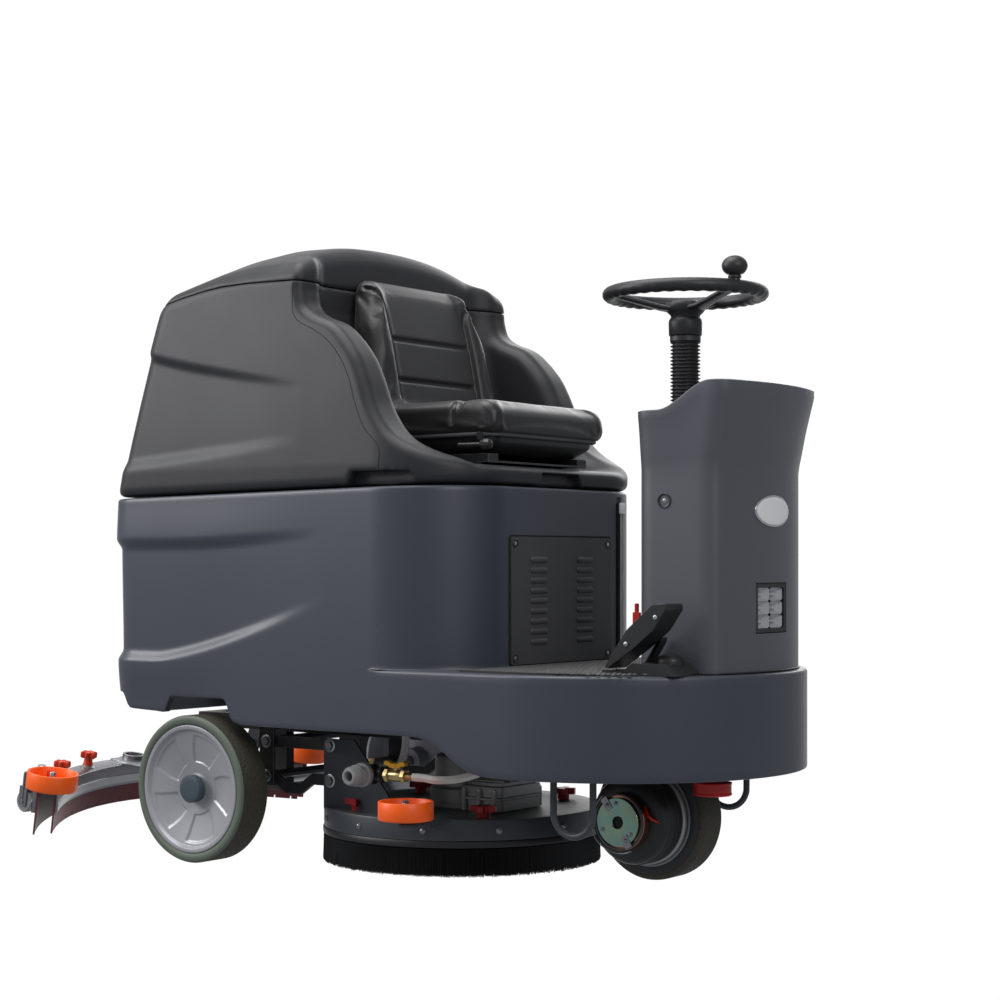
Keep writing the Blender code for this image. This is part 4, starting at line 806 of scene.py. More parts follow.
def tankForm(x, y, z):
    s = tankShape
    front = spot("recovery_tank")[1].x - 0.0005
    outline = rearLine + [(-0.15, 1.4), (0.262, 1.4)] + wingLine + [(front, topLine(front) + 0.001)]
    side = polygonField(outline, x, z)
    half = s["half"] - (s["half"] - s["topHalf"]) * np.clip((z - 0.8) / 0.45, 0, 1)
    upper = 1.06 - 0.089 * np.clip((x + 0.18) / 0.443, 0, 1) ** 0.75
    lower = 0.804 + 0.036 * np.clip((x + 0.247) / 0.477, 0, 1) ** 1.2
    fade = 1 - np.clip((x + 0.02) / 0.3, 0, 1) ** 1.2
    hollow = np.clip((z - lower) / 0.03 + 0.2, 0, 1) * np.clip((upper - z) / 0.022 + 0.1, 0, 1)
    hollow = hollow * hollow * (3 - 2 * hollow)
    half = half - s["scoop"] * hollow * fade
    rear = -0.285 + np.interp(z, [b for a, b in rearLine], [a for a, b in rearLine]) + 0.2605
    corner = 0.055
    inX = np.maximum(rear + 0.0245 + corner - x, 0)
    inY = np.maximum(np.abs(y) - half + corner, 0)
    plan = np.where((inX > 0), np.sqrt(inX ** 2 + inY ** 2) - corner, np.abs(y) - half)
    noseArc = 0.188
    aheadX = np.maximum(x - (front - noseArc), 0)
    aheadY = np.maximum(np.abs(y) - half + noseArc, 0)
    plan = np.where(aheadX > 0, np.maximum(np.sqrt(aheadX ** 2 + aheadY ** 2) - noseArc, np.abs(y) - half),
            plan)
    form = roundMax(side, plan, s["edge"])
    share = np.clip(np.abs(y) / half, 0, 1)
    roof = shoulderLine(x) + (crownLine(x) - shoulderLine(x)) * (1 - share ** 2.4)
    form = roundMax(form, (z - roof) * 0.86, 0.026)
    recess = [(0.8, 0.806), (0.33, 0.806), (0.298, 0.83), (0.288, 0.86), (0.258, 1.0), (0.234, 1.12),
            (0.228, 1.45), (0.8, 1.45)]
    room = roundMax(polygonField(recess, x, z), np.abs(y) - s["recess"], 0.035)
    form = roundMax(form, -room, s["wingEdge"])
    low, high, lift = s["sideGrip"]
    slant = 0.02 * np.clip((z - 0.745) / 0.04, 0, 1)
    notch = np.maximum.reduce([low + slant - x, x - high + slant, z - lift, 0.345 - np.abs(y)])
    form = np.maximum(form, -notch)
    slant = 0.016 * np.clip((z - 0.745) / 0.04, 0, 1)
    notch = np.maximum.reduce([np.abs(y) - 0.08 + slant, z - 0.786, 0.63 - x])
    form = np.maximum(form, -notch)
    floor = topLine(0) + 0.0152 * x + 0.0012 - z
    return roundMax(form, floor, 0.008)


def tankField(x, y, z):
    form = np.maximum(tankForm(x, y, z), z - seamLine(x) + 0.0002)
    well = np.maximum.reduce([-0.135 - x, x - 0.07, np.abs(y) - 0.285, 0.8 - z])
    socket = np.maximum(np.sqrt((x - 0.148) ** 2 + y ** 2) - 0.057, 1.02 - z)
    return np.maximum(form, -np.minimum(well, socket))


def lidField(x, y, z):
    form = np.maximum(tankForm(x, y, z), seamLine(x) + tankShape["gap"] - z)
    hollow = np.maximum.reduce([-0.09 - x, x - 0.215, np.abs(y) - 0.29, z - seamLine(x) - 0.02])
    return np.maximum(form, -hollow)


def makeTank():
    pitch = tankShape["pitch"]
    base = seamLine(0.0)
    low = (-0.27, -0.3825, 0.735 - base)
    drop = math.ceil(-low[2] / pitch) * pitch  # the seam falls halfway between two layers of the grid
    tank = netMesh(tankField, (low[0], low[1], pitch / 2 - drop), (0.685, 0.3825, 2.5 * pitch), pitch,
            lambda x: seamLine(x))
    lid = netMesh(lidField, (low[0], low[1], -2.5 * pitch), (0.3, 0.3825, 0.135), pitch,
            lambda x: seamLine(x))
    return (place("recovery_tank_shell", tank, "tankPaint", "tank", ["recovery_tank"], crease=50),
            place("tank_lid_shell", lid, "tankPaint", "lid", ["tank_lid"], crease=50))


tankShell, lidShell = makeTank()
print("tank and lid made", len(tankShell.data.polygons), len(lidShell.data.polygons))

# Mould lines on the shells

def surfaceLine(name, piece, points, radius, finish, body, side, out):
    # a thin line laid on a shell's flank, through (x, height) points
    tree = BVHTree.FromObject(piece, bpy.context.evaluated_depsgraph_get())
    route = []
    for point in curveThrough([(a, b, 0) for a, b in points], 8):
        x, z = point[0], point[1]
        hit = tree.ray_cast(Vector((x + originX, side * 0.9, z)), Vector((0, -side, 0)))[0]
        if hit:
            route.append((x, hit.y + side * out, z))
    return place(name, pipe(route, radius, 6, 0), finish, body)


partingPoints = [(0.246, 1.1665), (0.246, 1.14), (0.25, 1.105), (0.268, 1.084), (0.3, 1.07), (0.34, 1.046),
        (0.376, 1.01), (0.402, 0.966), (0.42, 0.918), (0.446, 0.868), (0.482, 0.832), (0.484, 0.79)]
for side, label in ((-1, "right"), (1, "left")):
    # the tank's parting line is a thin black line: painted shade of its groove
    surfaceLine("tank_mould_line_" + label, tankShell, partingPoints, 0.0009, "paintedShadeBlack", "tank", side,
            -0.0002)
    surfaceLine("body_mould_line_" + label, lowerBody, [(0.48, 0.738), (0.48, 0.6), (0.48, 0.415)], 0.0006,
            "bodyPaint", "chassis", side, -0.0003)
print("mould lines made")


# Steering column with its oval badge, headlight and dash

columnShape = {"wall": 0.006, "half": 0.1665, "flare": 0.012, "front": 1.128, "reach": 0.028, "bow": 0.034}


def columnTop(x):
    t = max(0.0, min(1.0, (x - 0.983) / 0.115))
    return 0.889 + 0.05 * t * t * (3 - 2 * t)


def columnOutline(z, grow=0.0):
    c = columnShape
    flare = max(0.0, min(1.0, (z - 0.785) / 0.14)) ** 1.15
    half = c["half"] + c["flare"] * flare + grow
    front = c["front"] + c["reach"] * flare + grow
    corner = front - c["bow"]
    radius = (half * half + c["bow"] * c["bow"]) / (2 * c["bow"])
    right = [(0.896 - grow, 0.0), (0.938 - grow, -half + 0.01), (0.946 - grow, -half + 0.0045),
            (0.955, -half + 0.0012)]
    right += [(x, -half) for x in np.linspace(0.966, corner - 0.03, 16)]
    turn = 0.026  # the front corners are rounded where the flank meets the bowed nose
    arc = [(front - radius + math.sqrt(radius * radius - y * y), y) for y in np.linspace(-half + turn, 0, 22)]
    endX, endY = arc[0]
    startX = corner - 0.03
    for k in range(1, 9):
        t = k / 9
        right.append(((1 - t) ** 2 * startX + 2 * t * (1 - t) * (corner + 0.004) + t * t * endX,
                (1 - t) ** 2 * -half + 2 * t * (1 - t) * -half + t * t * endY))
    right += arc
    return right + [(x, -y) for x, y in right[-2:0:-1]]


def makeColumn():
    low = spot("column_shell")[0]
    levels = [low.z + 0.0005] + list(np.linspace(0.43, 0.78, 12)) + list(np.linspace(0.8, 0.94, 12))
    walls = []
    for grow in (0.0, -columnShape["wall"]):
        stack = []
        for index, z in enumerate(levels):
            last = index == len(levels) - 1
            points = []
            for x, y in columnOutline(z, grow):
                edge = columnTop(x)
                lift = edge if last else min(z, lerp(0.78, edge - 0.004,
                        ease(0.76, 0.955, z)) if z > 0.78 else z)
                points.append((x, y, lift))
            stack.append(points)
        walls.append(stack)
    outer, inner = walls
    lip = [((a[0] + b[0]) / 2, (a[1] + b[1]) / 2, a[2] + 0.0015) for a, b in zip(outer[-1], inner[-1])]
    shell = place("column_body", skin(outer + [lip] + inner[::-1], closed=True), "columnPaint", "chassis",
            ["column_shell"], crease=180)
    light, dark = spot("headlight_housing")
    window = block((1.05, light.y - 0.0005, light.z - 0.0005), (1.2, dark.y + 0.0005, dark.z + 0.0005))
    switch = bar(ring(0.011, 24, (-0.13, 0.508)), 0.8, 1.0, "X")
    carve(shell, [window, switch])
    shell.data.set_sharp_from_angle(angle=math.radians(35))
    return shell


column = makeColumn()


def onNose(y, z):
    # a point on the bowed nose below its flare
    c = columnShape
    radius = (c["half"] ** 2 + c["bow"] ** 2) / (2 * c["bow"])
    return Vector((c["front"] - radius + math.sqrt(radius * radius - y * y), y, z))


badge = {"height": 0.706, "half": 0.063, "rise": 0.0295, "thick": 0.0026, "rim": 0.0045}


def ovalPlate(halfWidth, halfHeight, near, far, centreY, centreZ, soften=0.0008):
    # an oval slip that follows the bowed nose
    rings = []
    for inset, level in ((0, near), (0, far - soften), (soften * 0.4, far - soften * 0.3), (soften, far)):
        loop = []
        for k in range(72):
            a = 2 * math.pi * k / 72
            y = centreY + (halfWidth - inset) * math.cos(a)
            z = centreZ + (halfHeight - inset) * math.sin(a)
            loop.append(onNose(y, z) + Vector((level, 0, 0)))
        rings.append(loop)
    geometry = skin(rings, caps=False)
    previous = list(geometry.verts)[-72:]
    for share in (0.8, 0.6, 0.4, 0.2):
        loop = []
        for k in range(72):
            a = 2 * math.pi * k / 72
            y = centreY + (halfWidth - soften) * share * math.cos(a)
            z = centreZ + (halfHeight - soften) * share * math.sin(a)
            loop.append(geometry.verts.new(onNose(y, z) + Vector((far, 0, 0))))
        for k in range(72):
            after = (k + 1) % 72
            geometry.faces.new((previous[k], previous[after], loop[after], loop[k]))
        previous = loop
    geometry.faces.new(previous)
    return geometry


place("badge_rim", ovalPlate(badge["half"], badge["rise"], 0.0002, badge["thick"], 0.0, badge["height"]),
        "chrome", "chassis")
place("badge_face", ovalPlate(badge["half"] - badge["rim"], badge["rise"] - badge["rim"] * 0.8, 0.001,
        badge["thick"] + 0.0009, 0.0, badge["height"]), "badgeWhite", "chassis")

lampBox = {"frame": 0.0085, "columns": 2, "rows": 3}
low, high = spot("headlight_housing")
face = high.x
frameLow, frameHigh = (low.y + 0.0005, low.z + 0.0005), (high.y - 0.0005, high.z - 0.0005)
outerRim = rounded([(frameLow[0], frameLow[1], 0.006), (frameHigh[0], frameLow[1], 0.006),
        (frameHigh[0], frameHigh[1], 0.006), (frameLow[0], frameHigh[1], 0.006)])
w = lampBox["frame"]
innerRim = rounded([(frameLow[0] + w, frameLow[1] + w, 0.003), (frameHigh[0] - w, frameLow[1] + w, 0.003),
        (frameHigh[0] - w, frameHigh[1] - w, 0.003), (frameLow[0] + w, frameHigh[1] - w, 0.003)])
housing = skin([[(low.x, a, b) for a, b in outerRim], [(face + 0.001, a, b) for a, b in outerRim],
        [(face + 0.001, a, b) for a, b in innerRim], [(face - 0.014, a, b) for a, b in innerRim]])
place("headlight_frame", housing, "blackPlastic", "chassis", ["headlight_housing"], bevel=0.0008)
cells = []
for across in range(lampBox["columns"]):
    for row in range(lampBox["rows"]):
        wide = (frameHigh[0] - frameLow[0] - 2 * w) / lampBox["columns"]
        tall = (frameHigh[1] - frameLow[1] - 2 * w) / lampBox["rows"]
        cy = frameLow[0] + w + wide * (across + 0.5)
        cz = frameLow[1] + w + tall * (row + 0.5)
        rings = []
        for share, level in ((1.0, 0.0), (0.82, -0.004), (0.5, -0.009), (0.34, -0.01), (0.3, -0.006),
                (0.16, -0.0035)):
            loop = []
            for k in range(24):
                a = 2 * math.pi * (k + 0.5) / 24
                squareness = max(abs(math.cos(a)), abs(math.sin(a)))
                stretch = lerp(1.0, 1 / squareness, share * share)
                loop.append((face - 0.003 + level, cy + wide * 0.49 * share * math.cos(a) * stretch,
                        cz + tall * 0.49 * share * math.sin(a) * stretch))
            rings.append(loop)
        cell = skin(rings, caps=False)
        cell.verts.ensure_lookup_table()
        cell.faces.new(list(cell.verts)[-24:])
        cells.append(cell)
place("headlight_cells", merge(*cells), "ledGlass", "chassis", ["headlight_lens"], crease=25)
place("column_side_plug", merge(lathe([(0.0125, 0.0), (0.014, 0.0012), (0.0128, 0.002), (0.0105, 0.0012),
        (0.0098, -0.004), (0, -0.004)], "-Y", 40)), "blackPlastic", "chassis",
        at=(0.994, -columnShape["half"] - 0.0002, 0.724))
bolts("column_side_screw", [(0.994, -columnShape["half"] + 0.0032, 0.724)], 0.0046, "-Y", "chassis", "zinc",
        False, 1.0)
place("column_foot_seal", pipe([(x, y, 0.4095) for x, y in columnOutline(0.42, 0.0012)], 0.0016, 8, 0,
        closed=True), "blackPlastic", "chassis")

# key and its barrel on the dash
keyAt = middle("ignition_key")
barrel = lathe([(0, 0.0), (0.0112, 0.0), (0.012, 0.0015), (0.012, 0.006), (0.0108, 0.0078), (0.008, 0.0085),
        (0.0072, 0.0075), (0, 0.0075)], "Z", 40)
head = bar(ring(0.012, 40, (0.0, 0.0355)), -0.0011, 0.0011, "X")
stem = block((-0.001, -0.003, 0.004), (0.001, 0.003, 0.026))
place("ignition_key_set", merge(barrel, head, stem), "chrome", "key", ["ignition_key"], bevel=0.0004,
        at=(keyAt.x, keyAt.y, 0.8905))
print("column, badge, headlight and key made")


# Boot, steering wheel and spinner knob

steer = {"x": middle("steering_shaft").x, "rimZ": 1.123, "rimR": 0.145, "tube": 0.014, "grips": 36,
        "pleats": 21, "knobTurn": math.radians(-20)}


def makeBoot():
    high = spot("steering_boot")[1]
    profile = [(0.0115, 0.885), (0.0205, 0.884), (0.027, 0.888)]
    bottom, top = 0.89, 1.034
    for k in range(steer["pleats"]):
        z = lerp(bottom, top, k / steer["pleats"])
        pitch = (top - bottom) / steer["pleats"]
        profile += [(0.0242, z), (0.0246, z + pitch * 0.12), (0.0288, z + pitch * 0.42),
                (0.0292, z + pitch * 0.5), (0.0288, z + pitch * 0.58), (0.0246, z + pitch * 0.88)]
    profile += [(0.0242, top), (0.0275, top + 0.001), (0.0278, high.z - 0.0015), (0.0268, high.z),
            (0.0115, high.z)]
    return place("steering_bellows", lathe(profile, "Z", 56, closed=True), "wheelRubber", "chassis",
            ["steering_boot"], crease=60, at=(steer["x"], 0, 0))


def makeSteeringWheel():
    count, around = 216, 20
    rings = []
    for k in range(count):
        angle = 2 * math.pi * k / count
        wave = 0.5 + 0.5 * math.cos(angle * steer["grips"])
        loop = []
        for j in range(around):
            turn = 2 * math.pi * j / around
            under = max(0.0, -math.sin(turn - 0.25)) ** 1.5
            size = steer["tube"] * (1 - 0.13 * under * (1 - wave))
            reach = steer["rimR"] + size * math.cos(turn)
            loop.append((reach * math.cos(angle), reach * math.sin(angle), size * 0.94 * math.sin(turn)))
        rings.append(loop)
    rim = skin(rings, closed=True)
    hub = lathe([(0.0108, -0.0795), (0.03, -0.0795), (0.0315, -0.078), (0.0322, -0.056), (0.0318, -0.05),
            (0.03, -0.047), (0.0275, -0.044), (0.0285, -0.04), (0.035, -0.034), (0.0385, -0.028),
            (0.0385, -0.02), (0.0365, -0.0165), (0.027, -0.015), (0.025, -0.013), (0, -0.0122)], "Z", 56)
    hub.faces.new([v for v in hub.verts if abs(v.co.z + 0.0795) < 1e-6 and v.co.xy.length < 0.011])
    parts = [rim, hub]
    for turn in (-20, 100, 220):
        stations = []
        for share, width, height in ((0.018, 0.025, -0.029), (0.032, 0.0215, -0.0285),
                (0.05, 0.0165, -0.0255), (0.08, 0.0135, -0.0175), (0.11, 0.0125, -0.0095),
                (0.134, 0.014, -0.0035), (0.143, 0.015, -0.0015)):
            loop = []
            for a, b in ring(1.0, 20):
                crowned = 0.0062 if b > 0 else 0.0048
                square = 1 / max(abs(a), abs(b)) ** 0.55
                loop.append((share, a * width * min(square, 1.18), height + b * crowned * min(square, 1.15)))
            stations.append(loop)
        parts.append(moved(skin(stations), (0, 0, 0), math.radians(turn)))
    knobTurn = steer["knobTurn"]
    pin = lathe([(0, 0.008), (0.0105, 0.008), (0.0105, 0.0138), (0.004, 0.0142), (0.0036, 0.04), (0, 0.04)],
            "Z", 24)
    parts.append(moved(pin, (steer["rimR"] * math.cos(knobTurn), steer["rimR"] * math.sin(knobTurn), 0)))
    return place("steering_wheel_rim", merge(*parts), "wheelRubber", "steering", ["steering_wheel"],
            crease=50, at=(steer["x"], 0, steer["rimZ"]))


def makeKnob():
    centre, radius = 0.0375, 0.0242
    profile = [(0.0045, 0.015), (0.0118, 0.015), (0.0126, 0.0158), (0.0126, 0.0185), (0.0112, 0.02),
            (0.0104, 0.0215), (0.0122, 0.0235)]
    for k in range(20):
        angle = lerp(math.radians(-52), math.radians(88), k / 19)
        profile.append((radius * math.cos(angle), centre + radius * 0.8 * math.sin(angle)))
    profile += [(0, centre + radius * 0.8)]
    inner = [(0, 0.045), (0.0045, 0.045)]
    knobTurn = steer["knobTurn"]
    return place("spinner_ball", lathe(inner + profile, "Z", 48), "wheelRubber", "spinner",
            ["spinner_knob"], crease=40, at=(steer["x"] + steer["rimR"] * math.cos(knobTurn),
            steer["rimR"] * math.sin(knobTurn), steer["rimZ"]))


makeBoot()
makeSteeringWheel()
makeKnob()
collar = lathe([(0.0106, 0), (0.029, 0), (0.0296, 0.0006), (0.0296, 0.0095), (0.0286, 0.0105),
        (0.0106, 0.0105)], "Z", 56, closed=True)
place("steering_collar", collar, "wheelRubber", "steering", at=(steer["x"], 0, 1.0325))
print("steering made")


# Rear wheels: rubber tyre, pressed rim with petal hollows and a hub cap

wheelShape = {"petals": 5, "petalDepth": 0.0026, "rim": 0.13, "tyre": 0.15}


def petalField(u, v):
    # how deep a pocket is at this radius share and turn: one straight side, one curved side
    radius = math.hypot(u, v)
    angle = math.atan2(v, u)
    step = 2 * math.pi / wheelShape["petals"]
    swirl = (radius - 0.03) * 1.2
    local = (angle + swirl + step / 2) % step - step / 2
    edge = 0.0022 / max(radius, 0.01)
    near = step * (0.3 if local < 0 else 0.34 - 1.6 * (radius - 0.075) * (radius > 0.075))
    return (1 - ease(near - edge, near + edge, abs(local))) * ease(0.052, 0.056,
            radius) * (1 - ease(0.107, 0.111, radius))


def makeRearWheel(label, side):
    axis = "Y" if side > 0 else "-Y"
    low, high = spot("rear_tyre_" + label)
    face, inner = (high.y, low.y) if side > 0 else (-low.y, -high.y)
    r = wheelShape["tyre"]
    tyre = [(0.1305, inner + 0.004), (0.1325, inner + 0.001), (r - 0.006, inner),
            (r - 0.002, inner + 0.002), (r, inner + 0.006)]
    for k in range(7):  # shallow grooves round the tread
        y = lerp(inner + 0.01, face - 0.012, k / 6)
        tyre += [(r, y - 0.0012), (r - 0.0009, y - 0.0006), (r - 0.0009, y + 0.0006), (r, y + 0.0012)]
    tyre += [(r, face - 0.006), (r - 0.0022, face - 0.0046), (0.1305, face - 0.0048)]
    body = "rear_wheel_" + label
    centre = (0, 0, axleZ)
    place("rear_tyre_tread_" + label, lathe(tyre, axis, 120, closed=True), "treadOlive", body,
            ["rear_tyre_" + label], crease=45, at=centre)
    wall = [(0.1306, face - 0.003), (0.1325, face - 0.0015), (0.1345, face), (r - 0.0055, face),
            (r - 0.0022, face - 0.0016), (r - 0.0008, face - 0.0045), (r - 0.003, face - 0.006),
            (0.1306, face - 0.005)]
    place("rear_tyre_wall_" + label, lathe(wall, axis, 160, closed=True), "tyreGreen", body, crease=45,
            at=centre)
    # dished face, drawn as rings so that the petals can be pressed in
    geometry = bmesh.new()
    dish = [(0.029, face - 0.025), (0.032, face - 0.0252)]
    dish += [(lerp(0.034, 0.114, k / 52), lerp(face - 0.025, face - 0.0075, (k / 52) ** 1.15))
            for k in range(53)]
    dish += [(0.1165, face - 0.007), (0.119, face - 0.0045), (0.1215, face - 0.0012),
            (0.124, face - 0.0004), (0.1285, face - 0.0006), (0.13, face - 0.0018), (0.13, inner + 0.004),
            (0.128, inner + 0.002), (0.122, inner + 0.002), (0.119, face - 0.03), (0.034, face - 0.042),
            (0.03, inner + 0.004), (0.014, inner + 0.004), (0.014, face - 0.018)]
    count = 240
    rings = []
    for radius, height in dish:
        loop = []
        for k in range(count):
            a = 2 * math.pi * k / count
            u, v = radius * math.cos(a), radius * math.sin(a)
            press = wheelShape["petalDepth"] * petalField(u, v) if height > face - 0.0255 else 0.0
            loop.append((u, v, height - press))
        rings.append(loop)
    geometry = skin(rings, closed=True)
    geometry.transform(axisTurn[axis])
    place("rear_rim_dish_" + label, geometry, "rimPaint", body, ["rear_rim_" + label], crease=32, at=centre)
    cap = lathe([(0.0145, face - 0.0175), (0.0282, face - 0.0175), (0.0282, face - 0.003),
            (0.027, face - 0.0012), (0.023, face - 0.0002), (0.012, face), (0, face)], axis, 56)
    place("hub_cap_" + label, cap, "hubCap", body, crease=40, at=centre)


makeRearWheel("left", 1)
makeRearWheel("right", -1)
print("rear wheels made")


# Brush deck: painted dish, rivets, bristle skirt, brush, motor and roller

deckShape = {"x": middle("disc_brush").x, "outer": 0.285, "bristles": 900, "low": 0.003}


def makeDeck():
    x = deckShape["x"]
    r = deckShape["outer"]
    dish = [(0.03, 0.1035), (0.276, 0.0995), (0.279, 0.096), (0.279, 0.0725), (0.2835, 0.072), (r, 0.0732),
            (r, 0.1095), (0.2838, 0.1125), (0.2805, 0.1135), (0.23, 0.11), (0.226, 0.109), (0.12, 0.109),
            (0.116, 0.1096), (0.03, 0.1096)]
    place("deck_dish", lathe(dish, "Z", 160, closed=True), "framePaint", "deck", ["deck_housing"],
            crease=32, at=(x, 0, 0))
    plates = []
    for side in (-1, 1):
        low, high = sorted((side * 0.2086, side * 0.2146))
        shape = rounded([(0.208, 0.1085, 0), (0.4, 0.1085, 0), (0.375, 0.15, 0.02), (0.29, 0.252, 0.014),
                (0.208, 0.252, 0.012)])
        plates.append(bar(shape, low, high, "Y"))
    roller = middle("deck_roller")
    arm = rounded([(0.508, -0.24, 0), (0.515, -0.352, 0.012), (0.53, -0.3625, 0.012),
            (0.545, -0.352, 0.012), (0.552, -0.24, 0)])
    plates.append(bar(arm, 0.1094, 0.115))
    plates.append(moved(lathe([(0, 0), (0.0058, 0), (0.0058, 0.045), (0, 0.045)], "Z", 24),
            (roller.x, roller.y, 0.1145)))
    place("deck_brackets", merge(*plates), "framePaint", "deck", bevel=0.001)
    # rubber band behind the bristles
    band = [(0.2715, 0.059), (0.28, 0.058), (0.2862, 0.059), (0.2868, 0.062), (0.2868, 0.07),
            (0.2855, 0.0718), (0.272, 0.0718)]
    place("deck_skirt_band", lathe(band, "Z", 160, closed=True), "wheelRubber", "deck", ["deck_skirt"],
            crease=40, at=(x, 0, 0))
    spread = random.Random(7)
    rows = bmesh.new()
    for row, radius in enumerate((0.2845, 0.2815, 0.2785)):
        count = deckShape["bristles"]
        for k in range(count):
            a = 2 * math.pi * (k + 0.33 * row + spread.uniform(-0.25, 0.25)) / count
            flare = spread.uniform(-0.0005, 0.0016)
            drop = (-0.0012, 0.0022) if row == 0 else (0, 0.004)
            tip = deckShape["low"] + spread.uniform(*drop)
            thick = 0.00085
            points = []
            for reach, z in ((radius, 0.0565), (radius + flare * 0.4, 0.03), (radius + flare, tip)):
                centre = Vector((reach * math.cos(a), reach * math.sin(a), z))
                across = Vector((-math.sin(a), math.cos(a), 0)) * thick
                out = Vector((math.cos(a), math.sin(a), 0)) * thick
                points.append([rows.verts.new(centre + across - out * 0.5), rows.verts.new(centre + out),
                        rows.verts.new(centre - across - out * 0.5)])
            for low, high in zip(points, points[1:]):
                for j in range(3):
                    rows.faces.new((low[j], low[(j + 1) % 3], high[(j + 1) % 3], high[j]))
            rows.faces.new(points[0])
            rows.faces.new(points[-1])
    place("skirt_bristles", rows, "bristle", "deck", at=(x, 0, 0))
    inner = [(0.26, 0.056), (0.2758, 0.056), (0.2765, 0.008), (0.272, 0.006), (0.26, 0.006)]
    place("skirt_backing", lathe(inner, "Z", 128, closed=True), "bristle", "deck", crease=40, at=(x, 0, 0))
    rivets = []
    for degrees in range(-170, 190, 30):
        a = math.radians(degrees + 12)
        rivet = bolt(0.005, "X", False, 1.25)
        rivet.transform(Matrix.Translation((x + r * math.cos(a), r * math.sin(a), 0.0915))
                @ Matrix.Rotation(a, 4, "Z"))
        rivets.append(rivet)
    place("deck_rivets", merge(*rivets), "stainless", "deck")
    # red clamps that hold the skirt
    for index, (degrees, reach) in enumerate(((-118, 0.232), (-42, 0.228), (60, 0.232), (150, 0.232))):
        a = math.radians(degrees)
        lobes = [lathe([(0, 0.11), (0.0125, 0.11), (0.0125, 0.133), (0.0105, 0.135), (0, 0.135)], "Z", 32)]
        for k in range(4):
            wing = block((0.006, -0.006, 0.121), (0.0255, 0.006, 0.1345))
            wing.transform(Matrix.Rotation(k * math.pi / 2 + 0.35, 4, "Z"))
            lobes.append(wing)
        place("deck_clamp_%d" % index, merge(*lobes), "redPlastic", "deck", bevel=0.0012,
                at=(x + reach * math.cos(a), reach * math.sin(a), 0))


makeDeck()


def makeBrushMotor():
    x = deckShape["x"]
    can = lathe([(0.0258, 0.073), (0.0258, 0.11), (0.07, 0.11), (0.07, 0.118), (0.066, 0.1195),
            (0.066, 0.147), (0.06, 0.15), (0.056, 0.152), (0.056, 0.206), (0.053, 0.213), (0.04, 0.218),
            (0, 0.2195)], "Z", 72)
    can.faces.new([v for v in can.verts if abs(v.co.z - 0.073) < 1e-6])
    place("brush_motor_can", can, "castAlloy", "deck", ["brush_motor"], crease=35, at=(x, 0, 0))
    case = []
    for grow, bottom, top in ((0.0, 0.1103, 0.133), (0.006, 0.133, 0.1385), (0.0, 0.1385, 0.16),
            (-0.01, 0.16, 0.168)):
        shape = rounded([(0.452 - grow, -0.074 - grow, 0.016), (0.552 + grow * 0.4, -0.074 - grow, 0.016),
                (0.552 + grow * 0.4, 0.074 + grow, 0.016), (0.452 - grow, 0.074 + grow, 0.016)])
        case.append(bar(shape, bottom + 0.0001, top - 0.0001))
    for k in range(6):
        case.append(bar(ring(0.0065, 20, (0.464 + 0.038 * (k % 3), -0.0765 if k < 3 else 0.0765)), 0.1104,
                0.15))
    for k in range(5):
        y = lerp(-0.055, 0.055, k / 4)
        case.append(block((0.458, y - 0.0015, 0.16), (0.548, y + 0.0015, 0.1722)))
    place("brush_gearbox", merge(*case), "castAlloy", "deck", bevel=0.0012)
    bolts("gearbox_bolts", [(0.464 + 0.038 * (k % 3), -0.0765 if k < 3 else 0.0765, 0.15)
            for k in range(6)], 0.0042, "Z", "deck", "zinc")
    place("brush_motor_lead", pipe([(x + 0.03, -0.045, 0.2), (x + 0.055, -0.065, 0.215),
            (x + 0.08, -0.075, 0.2), (x + 0.075, -0.072, 0.172)], 0.0032, 12), "blackPlastic", "deck")


makeBrushMotor()


def makeBrush():
    x = deckShape["x"]
    plate = lathe([(0, 0.052), (0.115, 0.052), (0.235, 0.05), (0.238, 0.054), (0.214, 0.0715), (0, 0.0715)],
            "Z", 96)
    place("brush_plate", plate, "blackPlastic", "brush", ["disc_brush"], crease=35, at=(x, 0, 0))
    spread = random.Random(11)
    tufts = bmesh.new()
    for row in range(7):
        radius = lerp(0.122, 0.232, row / 6)
        count = int(radius * 2 * math.pi / 0.016)
        for k in range(count):
            a = 2 * math.pi * (k + spread.uniform(-0.1, 0.1)) / count
            lean = radius + 0.012 + spread.uniform(-0.003, 0.003)
            low, high = [], []
            for j in range(6):
                turn = 2 * math.pi * j / 6
                high.append(tufts.verts.new((radius * math.cos(a) + 0.004 * math.cos(turn),
                        radius * math.sin(a) + 0.004 * math.sin(turn), 0.0522)))
                low.append(tufts.verts.new((lean * math.cos(a) + 0.006 * math.cos(turn),
                        lean * math.sin(a) + 0.006 * math.sin(turn), 0.0008)))
            for j in range(6):
                tufts.faces.new((low[j], low[(j + 1) % 6], high[(j + 1) % 6], high[j]))
            tufts.faces.new(low)
            tufts.faces.new(high)
    place("brush_tufts", tufts, "bristle", "brush", at=(x, 0, 0))


makeBrush()


